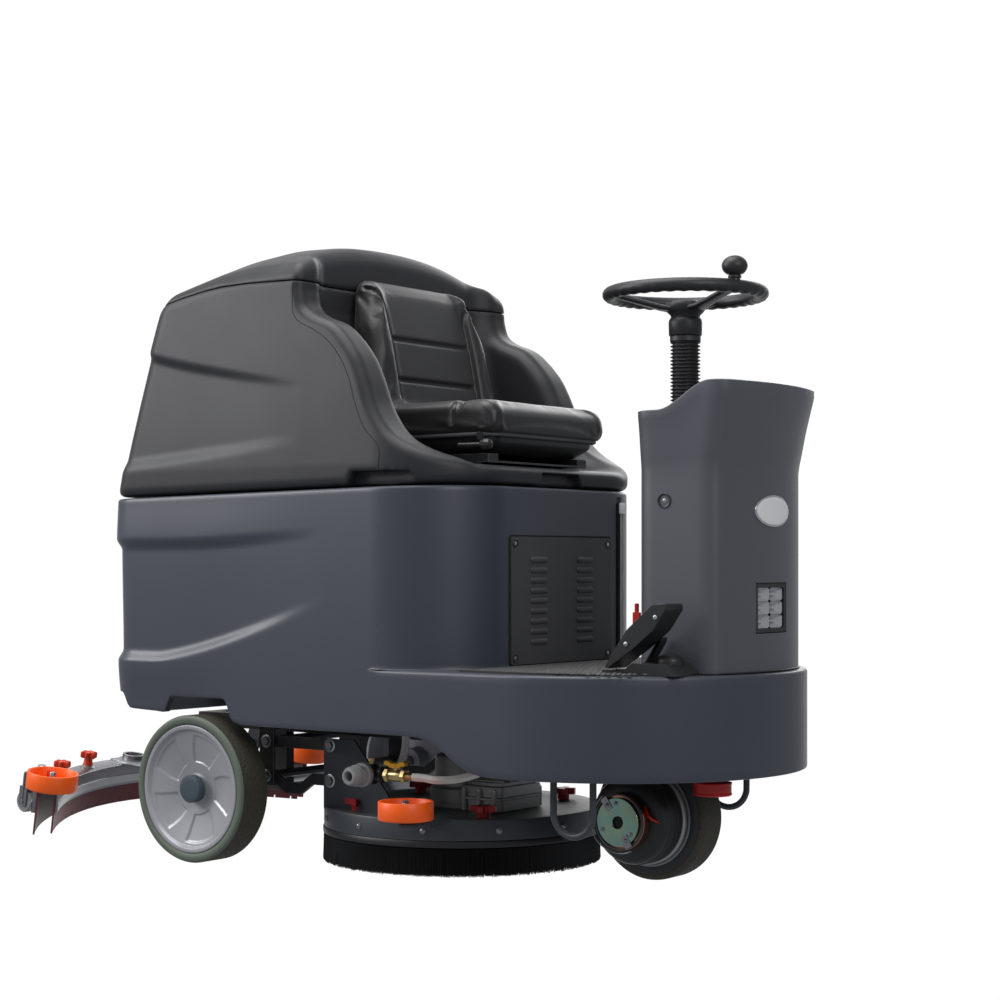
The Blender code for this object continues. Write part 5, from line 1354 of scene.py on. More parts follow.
def makeDeckRoller():
    # orange roller: a shallow cup on a bearing, with a nut in its middle
    low, high = spot("deck_roller")
    centre = (low + high) / 2
    radius = min(high.x - low.x, high.y - low.y) / 2
    tall = high.z - low.z
    profile = [(0.0072, 0.0), (radius - 0.003, 0.0), (radius - 0.0008, 0.0012), (radius, 0.0035),
            (radius, tall - 0.0015), (radius - 0.0012, tall), (radius - 0.005, tall),
            (radius - 0.0062, tall - 0.0015), (radius - 0.0078, 0.012), (radius - 0.011, 0.0095),
            (0.018, 0.009), (0.016, 0.0125), (0.0072, 0.0125)]
    place("deck_roller_cup", lathe(profile, "Z", 96, closed=True), "orangeUrethane", "deck_bumper",
            ["deck_roller"], crease=45, at=(centre.x, centre.y, low.z))
    nut = merge(lathe([(0.0062, 0.0126), (0.0125, 0.0126), (0.0125, 0.0144), (0.0062, 0.0144)], "Z", 36,
            closed=True), skin([[(a, b, z) for a, b in ring(0.0088, 6)] for z in (0.0145, 0.0205)]))
    place("deck_roller_nut", nut, "zinc", "deck", at=(centre.x, centre.y, low.z + 0.012), bevel=0.0006)


makeDeckRoller()
print("brush deck made")


# Squeegee, drawn flat and then carried at the frame's raise

squeegeeShape = {"rear": -0.59, "radius": 0.6, "reach": 0.425, "raise": math.radians(9),
        "hinge": (-0.24, 0, 0.2)}
hinge = Matrix.Translation(squeegeeShape["hinge"])
tilt = hinge @ Matrix.Rotation(squeegeeShape["raise"], 4, "Y") @ hinge.inverted()


def arcSpot(offset, y):
    reach = squeegeeShape["radius"] - offset
    return squeegeeShape["rear"] + squeegeeShape["radius"] - math.sqrt(reach * reach - y * y)


def arcStrip(section, reach, notches=0):
    # a section carried round the squeegee's curve; notches are cut in its lower edge
    end = math.asin(reach / squeegeeShape["radius"])
    stations = [(a, False) for a in np.linspace(-end, end, 60)]
    for k in range(notches):
        a = lerp(-end, end, (k + 0.5) / notches) + 0.003
        stations += [(a, False), (a + 0.0002, True), (a + 0.006, True), (a + 0.0062, False)]
    rings = []
    for angle, cut in sorted(stations):
        loop = []
        for offset, height in section:
            r = squeegeeShape["radius"] - offset
            lift = 0.012 if cut and height < 0.01 else 0.0
            loop.append((squeegeeShape["rear"] + squeegeeShape["radius"] - r * math.cos(angle),
                    r * math.sin(angle), height + lift))
        rings.append(loop)
    return skin(rings)


def makeSqueegee():
    reach = squeegeeShape["reach"]
    section = [(-0.004, 0.044), (-0.004, 0.0885), (-0.0028, 0.0918), (0.0005, 0.093), (0.0455, 0.093),
            (0.0488, 0.0918), (0.05, 0.0885), (0.05, 0.044), (0.0465, 0.044), (0.0465, 0.0885),
            (0.0045, 0.0885), (0.0045, 0.044)]
    parts = [arcStrip(section, reach)]
    tongue = rounded([(-0.58, -0.06, 0.004), (-0.315, -0.028, 0.018), (-0.315, 0.028, 0.018),
            (-0.58, 0.06, 0.004)])
    parts.append(bar(tongue, 0.0932, 0.0985))
    spigot = [(0.0197, 0.093), (0.033, 0.0932), (0.033, 0.096), (0.0262, 0.097), (0.0258, 0.1075),
            (0.0197, 0.1075)]
    parts.append(moved(lathe(spigot, "Z", 64, closed=True), (squeegeeShape["rear"] + 0.0255, 0, 0)))
    for side in (-1, 1):
        x, y = arcSpot(0.025, side * 0.398) + 0.018, side * 0.404
        low, high = sorted((side * 0.385, side * 0.421))
        arm = rounded([(x - 0.052, low, 0.004), (x + 0.012, low, 0.012), (x + 0.012, high, 0.012),
                (x - 0.052, high, 0.004)])
        parts.append(bar(arm, 0.0932, 0.0985))
        parts.append(moved(lathe([(0, 0), (0.0062, 0), (0.0062, 0.038), (0.0048, 0.04), (0, 0.04)], "Z",
                24), (x, y, 0.098)))
        cx, cy = arcSpot(0.025, side * 0.32), side * 0.32
        low, high = sorted((cy - 0.016, cy + 0.016))
        strap = rounded([(cx + 0.02, 0.0934, 0), (cx + 0.02, 0.0975, 0), (cx - 0.089, 0.0975, 0.008),
                (cx - 0.089, 0.03, 0), (cx - 0.0845, 0.03, 0), (cx - 0.0845, 0.0934, 0.005)], 4)
        parts.append(bar(strap, low, high, "Y"))
    place("squeegee_channel_bar", merge(*parts), "stainless", "squeegee", ["squeegee_channel"],
            bevel=0.0006, at=tilt)
    rear = [(0.005, 0.0), (0.0088, 0.0), (0.0088, 0.0872), (0.005, 0.0872)]
    place("rear_blade_strip", arcStrip(rear, reach + 0.01), "bladeRubber", "squeegee", ["rear_blade"],
            bevel=0.0004, at=tilt)
    front = [(0.0412, 0.002), (0.0452, 0.002), (0.0452, 0.0872), (0.0412, 0.0872)]
    place("front_blade_strip", arcStrip(front, reach - 0.002, 22), "bladeRubber", "squeegee",
            ["front_blade"], bevel=0.0004, at=tilt)
    # clamp bands with rounded ends outside both blades
    bands = []
    for offset in (-0.0068, 0.0502):
        band = [(offset, 0.05), (offset, 0.068), (offset + 0.0022, 0.068), (offset + 0.0022, 0.05)]
        bands.append(arcStrip(band, reach + 0.006))
    place("blade_bands", merge(*bands), "zinc", "squeegee", bevel=0.0005, at=tilt)
    # lobed knobs, stop castors and the small levelling bracket
    knobs, studs = [], []
    for y in (-0.366, -0.285, -0.16, 0.16, 0.285, 0.366):
        x = arcSpot(0.023, y)
        outline = [((0.015 + 0.0042 * math.cos(6 * a)) * math.cos(a), (0.015 + 0.0042 * math.cos(6 * a))
                * math.sin(a)) for a in np.linspace(0, 2 * math.pi, 72, endpoint=False)]
        rings = [[(x + a * s, y + b * s, z) for a, b in outline] for s, z in ((0.8, 0.1145), (0.98, 0.1165),
                (1.0, 0.12), (1.0, 0.126), (0.95, 0.129), (0.72, 0.13), (0.6, 0.1285))]
        knobs.append(skin(rings))
        knobs.append(moved(lathe([(0, 0.099), (0.012, 0.099), (0.0105, 0.104), (0.0088, 0.115), (0, 0.115)],
                "Z", 40), (x, y, 0)))
        studs.append(moved(lathe([(0, 0.093), (0.0165, 0.093), (0.0165, 0.0948), (0.015, 0.0956),
                (0.0115, 0.0962), (0.011, 0.0992), (0, 0.0992)], "Z", 48), (x, y, 0)))
    place("squeegee_knobs", merge(*knobs), "knobOrange", "squeegee", crease=45, at=tilt)
    place("squeegee_knob_washers", merge(*studs), "zinc", "squeegee", crease=40, at=tilt)
    wheels, forks = [], []
    for side in (-1, 1):
        cx, cy = arcSpot(0.025, side * 0.32) - 0.087, side * 0.32
        wheels.append(moved(lathe([(0.005, -0.0105), (0.0215, -0.0105), (0.024, -0.008), (0.0245, 0),
                (0.024, 0.008), (0.0215, 0.0105), (0.005, 0.0105)], "Y", 56, closed=True), (cx, cy, 0.0275)))
        for edge in (-1, 1):
            plate = rounded([(cx - 0.012, 0.018, 0.006), (cx + 0.012, 0.018, 0.006),
                    (cx + 0.012, 0.06, 0.003), (cx - 0.012, 0.06, 0.003)])
            low, high = sorted((cy + edge * 0.012, cy + edge * 0.0145))
            forks.append(bar(plate, low, high, "Y"))
        forks.append(bar(ring(0.0048, 20, (cx, 0.0275)), cy - 0.0165, cy + 0.0165, "Y"))
        forks.append(block((cx - 0.012, cy - 0.0145, 0.0585), (cx + 0.012, cy + 0.0145, 0.062)))
    place("squeegee_castor_wheels", merge(*wheels), "greyPlastic", "squeegee", crease=35, at=tilt)
    boxX, boxY = arcSpot(0.025, -0.335) - 0.03, -0.335
    case = rounded([(boxX - 0.02, boxY - 0.022, 0.006), (boxX + 0.016, boxY - 0.022, 0.006),
            (boxX + 0.016, boxY + 0.022, 0.006), (boxX - 0.02, boxY + 0.022, 0.006)])
    forks += [bar(case, 0.099, 0.113), moved(lathe([(0, 0.1131), (0.01, 0.1131), (0.01, 0.122),
            (0.008, 0.124), (0, 0.124)], "Z", 40), (boxX - 0.008, boxY - 0.004, 0))]
    place("squeegee_castor_forks", merge(*forks), "stainless", "squeegee", bevel=0.0005, at=tilt)
    cupProfile = [(0.0072, 0.0), (0.052, 0.0), (0.0538, 0.0012), (0.0545, 0.004), (0.0545, 0.0355),
            (0.0535, 0.037), (0.05, 0.037), (0.0488, 0.0355), (0.0468, 0.013), (0.043, 0.01),
            (0.018, 0.0092), (0.016, 0.0125), (0.0072, 0.0125)]
    nuts = []
    for side, label in ((1, "left"), (-1, "right")):
        x, y = arcSpot(0.025, side * 0.398) + 0.018, side * 0.404
        place("squeegee_cup_" + label, moved(lathe(cupProfile, "Z", 96, closed=True), (x, y, 0.1005)),
                "orangeUrethane", "bumper_" + label, ["squeegee_roller_" + label], crease=45, at=tilt)
        nuts.append(moved(bolt(0.0088, "Z", True, 1.45), (x, y, 0.1132)))
    place("squeegee_cup_nuts", merge(*nuts), "zinc", "squeegee", at=tilt)


makeSqueegee()
print("squeegee made")


# Bolts of the lifting arms and the frame

for side, axis in ((-1, "-Y"), (1, "Y")):
    for z, body in ((0.166, "lower_link"), (0.238, "upper_link")):
        pins = [(x, side * 0.215, z) for x in (0.05, 0.226)]
        bolts("%s_bolts_%d" % (body, side), pins, 0.0098, axis, body, "zinc", True, 1.4)
print("arm bolts made")


# Water line on the right side

waterShape = {"y": -0.285, "z": 0.197}


def makeWaterLine():
    y, z = waterShape["y"], waterShape["z"]
    tee = [lathe([(0.0085, 0.368), (0.0135, 0.368), (0.0135, 0.38), (0.018, 0.382), (0.0195, 0.384),
            (0.0195, 0.404), (0.018, 0.406), (0.0135, 0.408), (0.013, 0.418), (0.016, 0.419),
            (0.016, 0.427), (0.013, 0.4275), (0.013, 0.43), (0.0085, 0.43)], "X", 44, closed=True)]
    tee.append(moved(lathe([(0, -0.0195), (0.0175, -0.0195), (0.019, -0.017), (0.019, -0.01),
            (0.0105, -0.008), (0.0105, 0.055), (0, 0.055)], "Y", 40), (0.395, 0, 0)))
    for k in range(14):  # grip ribs round the nut
        a = 2 * math.pi * k / 14
        rib = block((0.386, -0.0014, 0.019), (0.402, 0.0014, 0.0208))
        rib.transform(Matrix.Rotation(a, 4, "X"))
        tee.append(rib)
    place("filter_tee", merge(*tee), "blackPlastic", "chassis", ["filter_head"], bevel=0.0005, at=(0, y, z))
    bowl = [(0.0095, 0.0002), (0.02, 0.0002), (0.0235, 0.0015), (0.0238, 0.01), (0.0215, 0.012),
            (0.019, 0.0135)]
    for k in range(6):
        bowl += [(0.019, 0.015 + k * 0.0045), (0.0178, 0.0162 + k * 0.0045), (0.0178, 0.018 + k * 0.0045),
                (0.019, 0.019 + k * 0.0045)]
    bowl += [(0.0185, 0.044), (0.015, 0.05), (0.011, 0.0505), (0.0095, 0.047), (0.0095, 0.03)]
    place("filter_cup", lathe(bowl, "-Y", 60, closed=True), "greyPlastic", "chassis", ["filter_bowl"],
            crease=35, at=(0.395, y - 0.0205, z))
    collar = [(0.0192, 0.0202), (0.0212, 0.0202), (0.0212, 0.0272), (0.0192, 0.0272)]
    place("filter_collar", lathe(collar, "-Y", 60, closed=True), "rimPaint", "chassis",
            at=(0.395, y - 0.0205, z))
    plug = merge(lathe([(0, 0.0001), (0.005, 0.0001), (0.005, 0.006), (0, 0.006)], "Z", 24),
            skin([[(a, b, h) for a, b in ring(0.0068, 6)] for h in (0.006, 0.011)]))
    place("filter_plug", plug, "brass", "chassis", at=(0.395, y, z + 0.0195))
    body = [lathe([(0.0065, 0.4308), (0.011, 0.4308), (0.011, 0.4325), (0.0065, 0.4325)], "X", 44,
            closed=True)]
    for low, high, size in ((0.433, 0.442, 0.014), (0.474, 0.483, 0.013)):
        body.append(skin([[(x, a, b) for a, b in ring(size, 6)] for x in (low, high)]))
    body.append(lathe([(0, 0.4415), (0.0098, 0.4415), (0.0112, 0.447), (0.0118, 0.458), (0.0112, 0.469),
            (0.0098, 0.4745), (0, 0.4745)], "X", 44))
    spigot = [(0, 0.4825), (0.0072, 0.4825)]
    for k in range(4):
        spigot += [(0.0076, 0.484 + k * 0.004), (0.0062, 0.487 + k * 0.004)]
    body.append(lathe(spigot + [(0.006, 0.4998), (0, 0.4998)], "X", 40))
    body.append(lathe([(0, 0.01), (0.0062, 0.01), (0.0062, 0.0155), (0.0036, 0.016), (0.0036, 0.0225),
            (0, 0.0225)], "Z", 30))
    body[-1].transform(Matrix.Translation((0.457, 0, 0)))
    place("ball_valve", merge(*body), "brass", "chassis", ["water_valve"], bevel=0.0005, at=(0, y, z))
    low, high = spot("valve_handle")
    wings = []
    for side in (-1, 1):
        shape = rounded([(0.457 + side * 0.003, low.z + 0.0005, 0.001),
                (0.457 + side * 0.012, low.z + 0.0005, 0.002), (0.457 + side * 0.0165, low.z + 0.004,
                0.003), (0.457 + side * 0.026, low.z + 0.005, 0.002), (0.457 + side * 0.026, low.z + 0.0145,
                0.0045), (0.457 + side * 0.013, low.z + 0.012, 0.005), (0.457 + side * 0.003, low.z + 0.007,
                0.001)], 4)
        wings.append(bar(shape, y - 0.0062, y + 0.0062, "Y"))
    wings.append(moved(lathe([(0.0042, 0), (0.0085, 0), (0.0085, 0.008), (0.007, 0.0095), (0.0042, 0.0095)],
            "Z", 40, closed=True), (0.457, y, low.z)))
    place("valve_butterfly", merge(*wings), "yellowPlastic", "valve", ["valve_handle"], bevel=0.0007)


makeWaterLine()
print("water line made")


# Vent panel, level tube and mat on the open front of the body

ventShape = {"louvres": 9, "top": 0.6155, "pitch": 0.02, "columns": (-0.083, 0.077), "wide": 0.0285,
        "tall": 0.006}


def makeVent():
    low, high = spot("vent_panel")
    x = high.x
    outline = rounded([(low.y, low.z, 0.006), (high.y, low.z, 0.006), (high.y, high.z, 0.006),
            (low.y, high.z, 0.006)])
    parts = [bar(outline, low.x, x, "X")]
    for centre in ventShape["columns"]:
        for k in range(ventShape["louvres"]):
            z = ventShape["top"] - k * ventShape["pitch"]
            rings = []
            for inset, level in ((0, 0.0), (0.0006, 0.0018), (0.0022, 0.0031), (0.0048, 0.0036)):
                a, b = ventShape["wide"] - inset, ventShape["tall"] - inset
                loop = [(x - 0.0002 + level, centre + math.copysign(a - b, math.cos(t)) + b * math.cos(t),
                        z + b * math.sin(t)) for t in [2 * math.pi * (j + 0.5) / 40 for j in range(40)]]
                rings.append(loop)
            parts.append(skin(rings))
    place("vent_panel_sheet", merge(*parts), "panelSheet", "chassis", ["vent_panel"], crease=30)
    # a black ring laid in the gap round the panel: painted shade of the gap
    gap = [(low.y - 0.0018, low.z - 0.0012), (high.y + 0.0018, low.z - 0.0012),
            (high.y + 0.0018, high.z + 0.0018), (low.y - 0.0018, high.z + 0.0018)]
    path = rounded([(a, b, 0.007) for a, b in gap])
    place("vent_gap", pipe([(low.x + 0.0002, a, b) for a, b in path], 0.0016, 8, 0, closed=True),
            "paintedShadeBlack", "chassis")
    corners = [(x, a, b) for a in (low.y + 0.013, high.y - 0.013) for b in (low.z + 0.013, high.z - 0.013)]
    plugs = [moved(lathe([(0.004, -0.001), (0.0088, -0.001), (0.0088, 0.0008), (0.0075, 0.0016),
            (0.0046, 0.0006), (0.004, -0.001)], "X", 36, closed=True), at) for at in corners]
    place("vent_screw_cups", merge(*plugs), "blackPlastic", "chassis", crease=40)
    place("vent_screws", merge(*[moved(lathe([(0, -0.0005), (0.0041, -0.0005), (0.0036, 0.0008),
            (0, 0.0012)], "X", 24), at) for at in corners]), "zinc", "chassis")


makeVent()
tube = middle("level_tube")
low, high = spot("level_tube")
place("level_tube_pipe", pipe([(tube.x + 0.003, tube.y, low.z), (tube.x + 0.003, tube.y,
        (low.z + high.z) / 2), (tube.x + 0.003, tube.y, high.z - 0.012)], 0.0034, 20), "clearPlastic",
        "chassis", ["level_tube"])
fitting = lathe([(0, 0), (0.0062, 0), (0.0062, 0.02), (0.005, 0.0225), (0, 0.0225)], "Z", 36)
place("level_tube_cap", fitting, "badgeWhite", "chassis", at=(tube.x + 0.003, tube.y, high.z - 0.0225))
groove = rounded([(tube.y - 0.0085, low.z, 0.004), (tube.y + 0.0085, low.z, 0.004),
        (tube.y + 0.0085, high.z, 0.004), (tube.y - 0.0085, high.z, 0.004)])
place("level_tube_groove", bar(groove, low.x + 0.0012, spot("vent_panel")[0].x + 0.0012, "X"),
        "blackPlastic", "chassis")


matShape = {"pitch": 0.0185, "row": 0.87, "reach": 0.331, "base": 0.0052, "top": 0.0034, "tall": 0.0016,
        "nose": 1.057, "columnHalf": 0.19, "pedal": ((0.905, 1.08), (-0.262, -0.162))}


def makeMat():
    # rows of low buttons, left out under the column and the pedal
    m = matShape
    low, high = spot("foot_mat")
    buttons = bmesh.new()
    columnRear = spot("column_shell")[0].x - 0.012
    row = 0
    x = low.x + 0.022
    while x < high.x - 0.012:
        y = -m["reach"] + (m["pitch"] / 2 if row % 2 else 0)
        while y < m["reach"]:
            front = m["nose"] - 0.3 * max(0.0, abs(y) - 0.1) ** 1.6 * 2.2
            inColumn = x > columnRear and abs(y) < m["columnHalf"]
            inPedal = m["pedal"][0][0] < x < m["pedal"][0][1] and m["pedal"][1][0] < y < m["pedal"][1][1]
            if x < front and not inColumn and not inPedal:
                bmesh.ops.create_cone(buttons, segments=12, cap_ends=True, radius1=m["base"],
                        radius2=m["top"], depth=m["tall"], matrix=Matrix.Translation((x, y, high.z + 0.0007)))
            y += m["pitch"]
        x += m["pitch"] * m["row"]
        row += 1
    place("foot_mat_buttons", buttons, "matRubber", "chassis", crease=25)


makeMat()
print("vent, level tube and mat made")


# Pedal with its side covers, base and dome

def makePedal():
    low, high = spot("accelerator_pedal")
    plate = rounded([(0.9225, 0.4195, 0.003), (0.932, 0.4188, 0.004), (0.985, 0.455, 0.004),
            (1.028, 0.489, 0.004), (1.0545, 0.5265, 0.006), (1.0535, 0.5372, 0.004), (1.03, 0.5372, 0.006),
            (0.975, 0.486, 0.02)], 5)
    parts = [bar(plate, low.y + 0.0042, high.y - 0.0042, "Y")]
    cover = rounded([(0.924, 0.42, 0.003), (0.933, 0.4192, 0.004), (0.985, 0.4545, 0.004),
            (1.028, 0.4885, 0.004), (1.0545, 0.526, 0.006), (1.054, 0.5372, 0.004), (1.027, 0.536, 0.006),
            (0.972, 0.489, 0.02)], 5)
    for a, b in ((low.y, low.y + 0.0038), (high.y - 0.0038, high.y)):
        parts.append(bar(cover, a, b, "Y"))
    for k in range(9):  # grip ribs on the tread
        t = (k + 0.5) / 9
        x, z = lerp(0.955, 1.022, t), lerp(0.466, 0.532, t)
        rib = bar(ring(0.0017, 10, (x - 0.0006, z + 0.0006)), low.y + 0.0065, high.y - 0.0065, "Y")
        parts.append(rib)
    place("pedal_plate", merge(*parts), "blackPlastic", "pedal", ["accelerator_pedal"], bevel=0.001)
    bolts("pedal_rivets", [(0.972, low.y - 0.0001, 0.464), (1.034, low.y - 0.0001, 0.513)], 0.004, "-Y",
            "pedal", "zinc", False, 1.2)
    bLow, bHigh = spot("pedal_base")
    shape = rounded([(bLow.x, bLow.z, 0), (bHigh.x, bLow.z, 0), (bHigh.x, bLow.z + 0.0045, 0.002),
            (1.05, 0.429, 0.008), (0.978, 0.429, 0.006), (0.96, 0.416, 0.004), (bLow.x, 0.416, 0.002)], 5)
    dome = [(0, -0.012), (0.0255, -0.012)] + [(0.0255 * math.cos(a), 0.003 + 0.013 * math.sin(a))
            for a in np.linspace(0, math.pi / 2, 9)]
    flap = rounded([(0.962, 0.4165, 0.002), (0.972, 0.4165, 0.002), (1.006, 0.47, 0.008),
            (1.0, 0.476, 0.004)], 4)
    base = [bar(shape, bLow.y, bHigh.y, "Y"), moved(lathe(dome, "Z", 44), (1.03, -0.206, 0.43))]
    base.append(bar(flap, bHigh.y - 0.022, bHigh.y - 0.002, "Y"))
    place("pedal_base_block", merge(*base), "blackPlastic", "chassis", ["pedal_base"], bevel=0.0012)
    bolts("pedal_base_bolts", [(0.932, y, 0.416) for y in (bLow.y + 0.012, bHigh.y - 0.01)], 0.0042, "Z",
            "chassis", "zinc", False, 1.4)


makePedal()

low, high = spot("battery_isolator")
isoY, isoZ = (low.y + high.y) / 2, (low.z + high.z) / 2
plate = rounded([(0.903, -0.0275, 0.004), (0.919, -0.0275, 0.004), (0.919, 0.01, 0.002),
        (0.9145, 0.01, 0.001), (0.9145, 0.0265, 0.002), (0.9075, 0.0265, 0.002), (0.9075, 0.01, 0.001),
        (0.903, 0.01, 0.002)], 3)
grip = [bar(plate, -0.003, 0.003, "Y"), bar(ring(0.0105, 32, (0.0, -0.01)), 0.9195, 0.9255, "X"),
        bar(ring(0.0055, 24, (0.0, -0.01)), 0.925, high.x, "X")]
place("isolator_grip", merge(*grip), "redPlastic", "isolator", ["battery_isolator"], bevel=0.001,
        at=(0, isoY, isoZ))
print("pedal and isolator made")


# Drive unit: motor drum, brake disc, wheel, guard bars and horn

driveShape = {"x": middle("drive_wheel").x, "z": 0.123}


def makeDrive():
    centre = (driveShape["x"], 0, driveShape["z"])
    drum = [(0, -0.0468), (0.0868, -0.0468), (0.0868, -0.06), (0.085, -0.0612), (0.085, -0.066),
            (0.0868, -0.0672), (0.0868, -0.085), (0.085, -0.0862), (0.085, -0.089), (0.084, -0.093),
            (0.08, -0.1), (0.076, -0.103), (0.064, -0.106), (0.06, -0.1072), (0, -0.1076)]
    parts = [lathe(drum, "Y", 96)]
    for k in range(20):  # cooling ribs
        rib = block((-0.0022, -0.085, 0.0835), (0.0022, -0.05, 0.0868))
        rib.transform(Matrix.Rotation(2 * math.pi * (k + 0.5) / 20, 4, "Y"))
        parts.append(rib)
    place("drive_motor_drum", merge(*parts), "blackPlastic", "drive_unit", ["drive_motor"], crease=30,
            at=centre)
    can = [(0, -0.1084), (0.054, -0.1084), (0.054, -0.129), (0.0528, -0.131), (0.048, -0.1314),
            (0.0475, -0.129), (0.044, -0.129), (0, -0.129)]
    place("brake_can", lathe(can, "Y", 96), "copperGlow", "drive_unit", ["parking_brake"], crease=30,
            at=centre)
    rimRing = [(0.05, -0.1305), (0.0538, -0.1305), (0.0538, -0.1345), (0.0528, -0.1355), (0.0505, -0.1355),
            (0.05, -0.1345)]
    place("brake_rim", lathe(rimRing, "Y", 96, closed=True), "darkSteel", "drive_unit", at=centre)
    disc = [(0.0115, -0.1292), (0.0455, -0.1292), (0.046, -0.13), (0.046, -0.1378), (0.045, -0.1388),
            (0.013, -0.1388), (0.0115, -0.1378)]
    place("brake_disc", lathe(disc, "Y", 96, closed=True), "rainbowZinc", "drive_unit", crease=30, at=centre)
    # a black plug in the disc's centre hole: painted shade of the hole
    place("brake_hole", lathe([(0, -0.1294), (0.0117, -0.1294), (0.0117, -0.1345), (0, -0.1345)], "Y", 40),
            "paintedShadeBlack", "drive_unit", at=centre)
    screws, clips = [], []
    for degrees in (95, 205, 325):
        a = math.radians(degrees)
        screws.append(moved(bolt(0.0034, "-Y", False, 1.2), (0.036 * math.cos(a), -0.1388,
                0.036 * math.sin(a))))
    for degrees in (125, 300):
        a = math.radians(degrees)
        clip = rounded([(0.028, -0.0075, 0.002), (0.0535, -0.0075, 0.002), (0.0535, 0.0075, 0.002),
                (0.028, 0.0075, 0.002)])
        plate = bar([(u, v) for u, v in clip], 0.1389, 0.1405)
        plate.transform(Matrix.Rotation(math.radians(90), 4, "X"))
        plate.transform(Matrix.Rotation(-a, 4, "Y"))
        clips.append(plate)
        clips.append(moved(bolt(0.0036, "-Y", False, 1.2), (0.038 * math.cos(a), -0.1405,
                0.038 * math.sin(a))))
    bail = [(0.0595 * math.cos(a), -0.1345 + 0.004 * math.sin(a * 3), 0.0595 * math.sin(a))
            for a in np.linspace(math.radians(128), math.radians(298), 28)]
    clips.append(pipe(bail, 0.0011, 10, 2))
    place("brake_fittings", merge(*(screws + clips)), "stainless", "drive_unit", bevel=0.0003, at=centre)
    lead = [(0.044, -0.112, 0.03), (0.058, -0.118, 0.012), (0.066, -0.108, 0.004), (0.07, -0.1, 0.002)]
    place("brake_lead", pipe(lead, 0.0024, 12), "redPlastic", "drive_unit", at=centre)
    y = 0.008
    half = 0.0375
    tread = [(0.1125, y - half - 0.0002), (0.114, y - half), (0.1195, y - half + 0.003),
            (0.1225, y - half + 0.009), (0.123, y - half + 0.013)]
    tread += [(0.123, y + half - 0.013), (0.1225, y + half - 0.009), (0.1195, y + half - 0.003),
            (0.114, y + half), (0.1125, y + half)]
    tyre = lathe(tread, "Y", 180, closed=True)
    place("drive_tread", tyre, "treadOlive", "front_wheel", ["drive_wheel"], crease=45, at=centre)
    side = [(0.096, y - half - 0.0035), (0.106, y - half - 0.0038), (0.1122, y - half - 0.001),
            (0.1122, y + half), (0.096, y + half)]
    place("drive_tyre_side", lathe(side, "Y", 120, closed=True), "wheelRubber", "front_wheel", crease=40,
            at=centre)
    light = [(0.0915, y - half - 0.0036), (0.0955, y - half - 0.0044), (0.0958, y - half),
            (0.0958, y + half - 0.004), (0.0915, y + half - 0.004)]
    place("drive_hub_ring", lathe(light, "Y", 120, closed=True), "rimPaint", "front_wheel", crease=40,
            at=centre)
    hub = [(0, y - half - 0.004), (0.018, y - half - 0.004), (0.02, y - half + 0.006),
            (0.09, y - half - 0.001), (0.0912, y - half), (0.0912, y + half - 0.006),
            (0.06, y + half - 0.016), (0.024, y + half - 0.014), (0.018, y + half - 0.008), (0.018, 0.0635),
            (0, 0.0635)]
    place("drive_hub", lathe(hub, "Y", 96), "castAlloy", "front_wheel", crease=35, at=centre)
    # fork ring and cheek between the drum and the wheel
    cheek = [(0.07, -0.0465), (0.0885, -0.0462), (0.0905, -0.044), (0.0905, -0.038), (0.07, -0.038)]
    place("drive_cheek_ring", lathe(cheek, "Y", 96, closed=True), "castAlloy", "drive_unit", crease=35,
            at=centre)


makeDrive()

for side, label in ((1, "left"), (-1, "right")):
    y = side * 0.28
    low, high = spot("guard_bar_" + label)
    route = [(0.826, y, high.z), (0.826, y, 0.3), (0.826, y, 0.2)]
    route += [(0.8695 + 0.0435 * math.cos(a), y, 0.1525 + 0.0415 * math.sin(a))
            for a in np.linspace(math.pi, 2 * math.pi, 13)]
    route += [(0.913, y, 0.2), (0.913, y, 0.3), (0.913, y, high.z)]
    place("guard_loop_" + label, pipe(route, 0.0065, 20, 4), "framePaint", "chassis", ["guard_bar_" + label])

low, high = spot("horn")
trumpet = [(0, low.z), (0.033, low.z), (0.0358, low.z + 0.0015), (0.0362, low.z + 0.004),
        (0.035, low.z + 0.0055), (0.035, low.z + 0.02), (0.0362, low.z + 0.0215), (0.0358, low.z + 0.0245),
        (0.02, low.z + 0.0268), (0.02, high.z), (0, high.z)]
place("horn_body", lathe(trumpet, "Z", 80), "redPlastic", "chassis", ["horn"], crease=35,
        at=(middle("horn").x, middle("horn").y, 0))
print("drive unit and horn made")


# Seat: one padded bucket, swollen by cloth and then quilted

seatShape = {"rear": 0.3, "lean": 0.205, "foot": 0.872, "thick": 0.05, "pitch": 0.0064, "cap": 0.006,
        "channel": 0.13, "roll": 0.532, "swell": 4.0, "frames": 20}


def seatField(x, y, z):
    s = seatShape
    side = np.abs(y)
    bolster = np.clip((side - s["channel"] + 0.01) / 0.03, 0, 1)
    rearFace = s["rear"] - s["lean"] * (z - s["foot"])
    thick = s["thick"] + 0.016 * bolster - 0.01 * np.clip((z - 1.06) / 0.14, 0, 1)
    centre = rearFace + thick / 2
    outline = polygonField([(-0.16, 0.86), (-0.16, 0.98), (-0.146, 1.08), (-0.122, 1.156), (0.122, 1.156),
            (0.146, 1.08), (0.16, 0.98), (0.16, 0.86)], y, z) - 0.042
    back = roundMax(outline, np.abs(x - centre) - thick / 2, 0.02)
    plan = polygonField([(0.3, -0.172), (0.6, -0.168), (0.6, 0.168), (0.3, 0.172)], x, y) - 0.034
    crown = 0.914 + 0.01 * bolster * (x < s["roll"]) + 0.009 * np.clip((x - s["roll"]) / 0.02, 0,
            1) - 0.012 * np.clip((x - 0.59) / 0.045, 0, 1) ** 2
    base = roundMax(plan, np.maximum(z - crown, 0.8625 - z), 0.016)
    return roundMin(back, np.maximum(base, 0.8625 - z), 0.03)


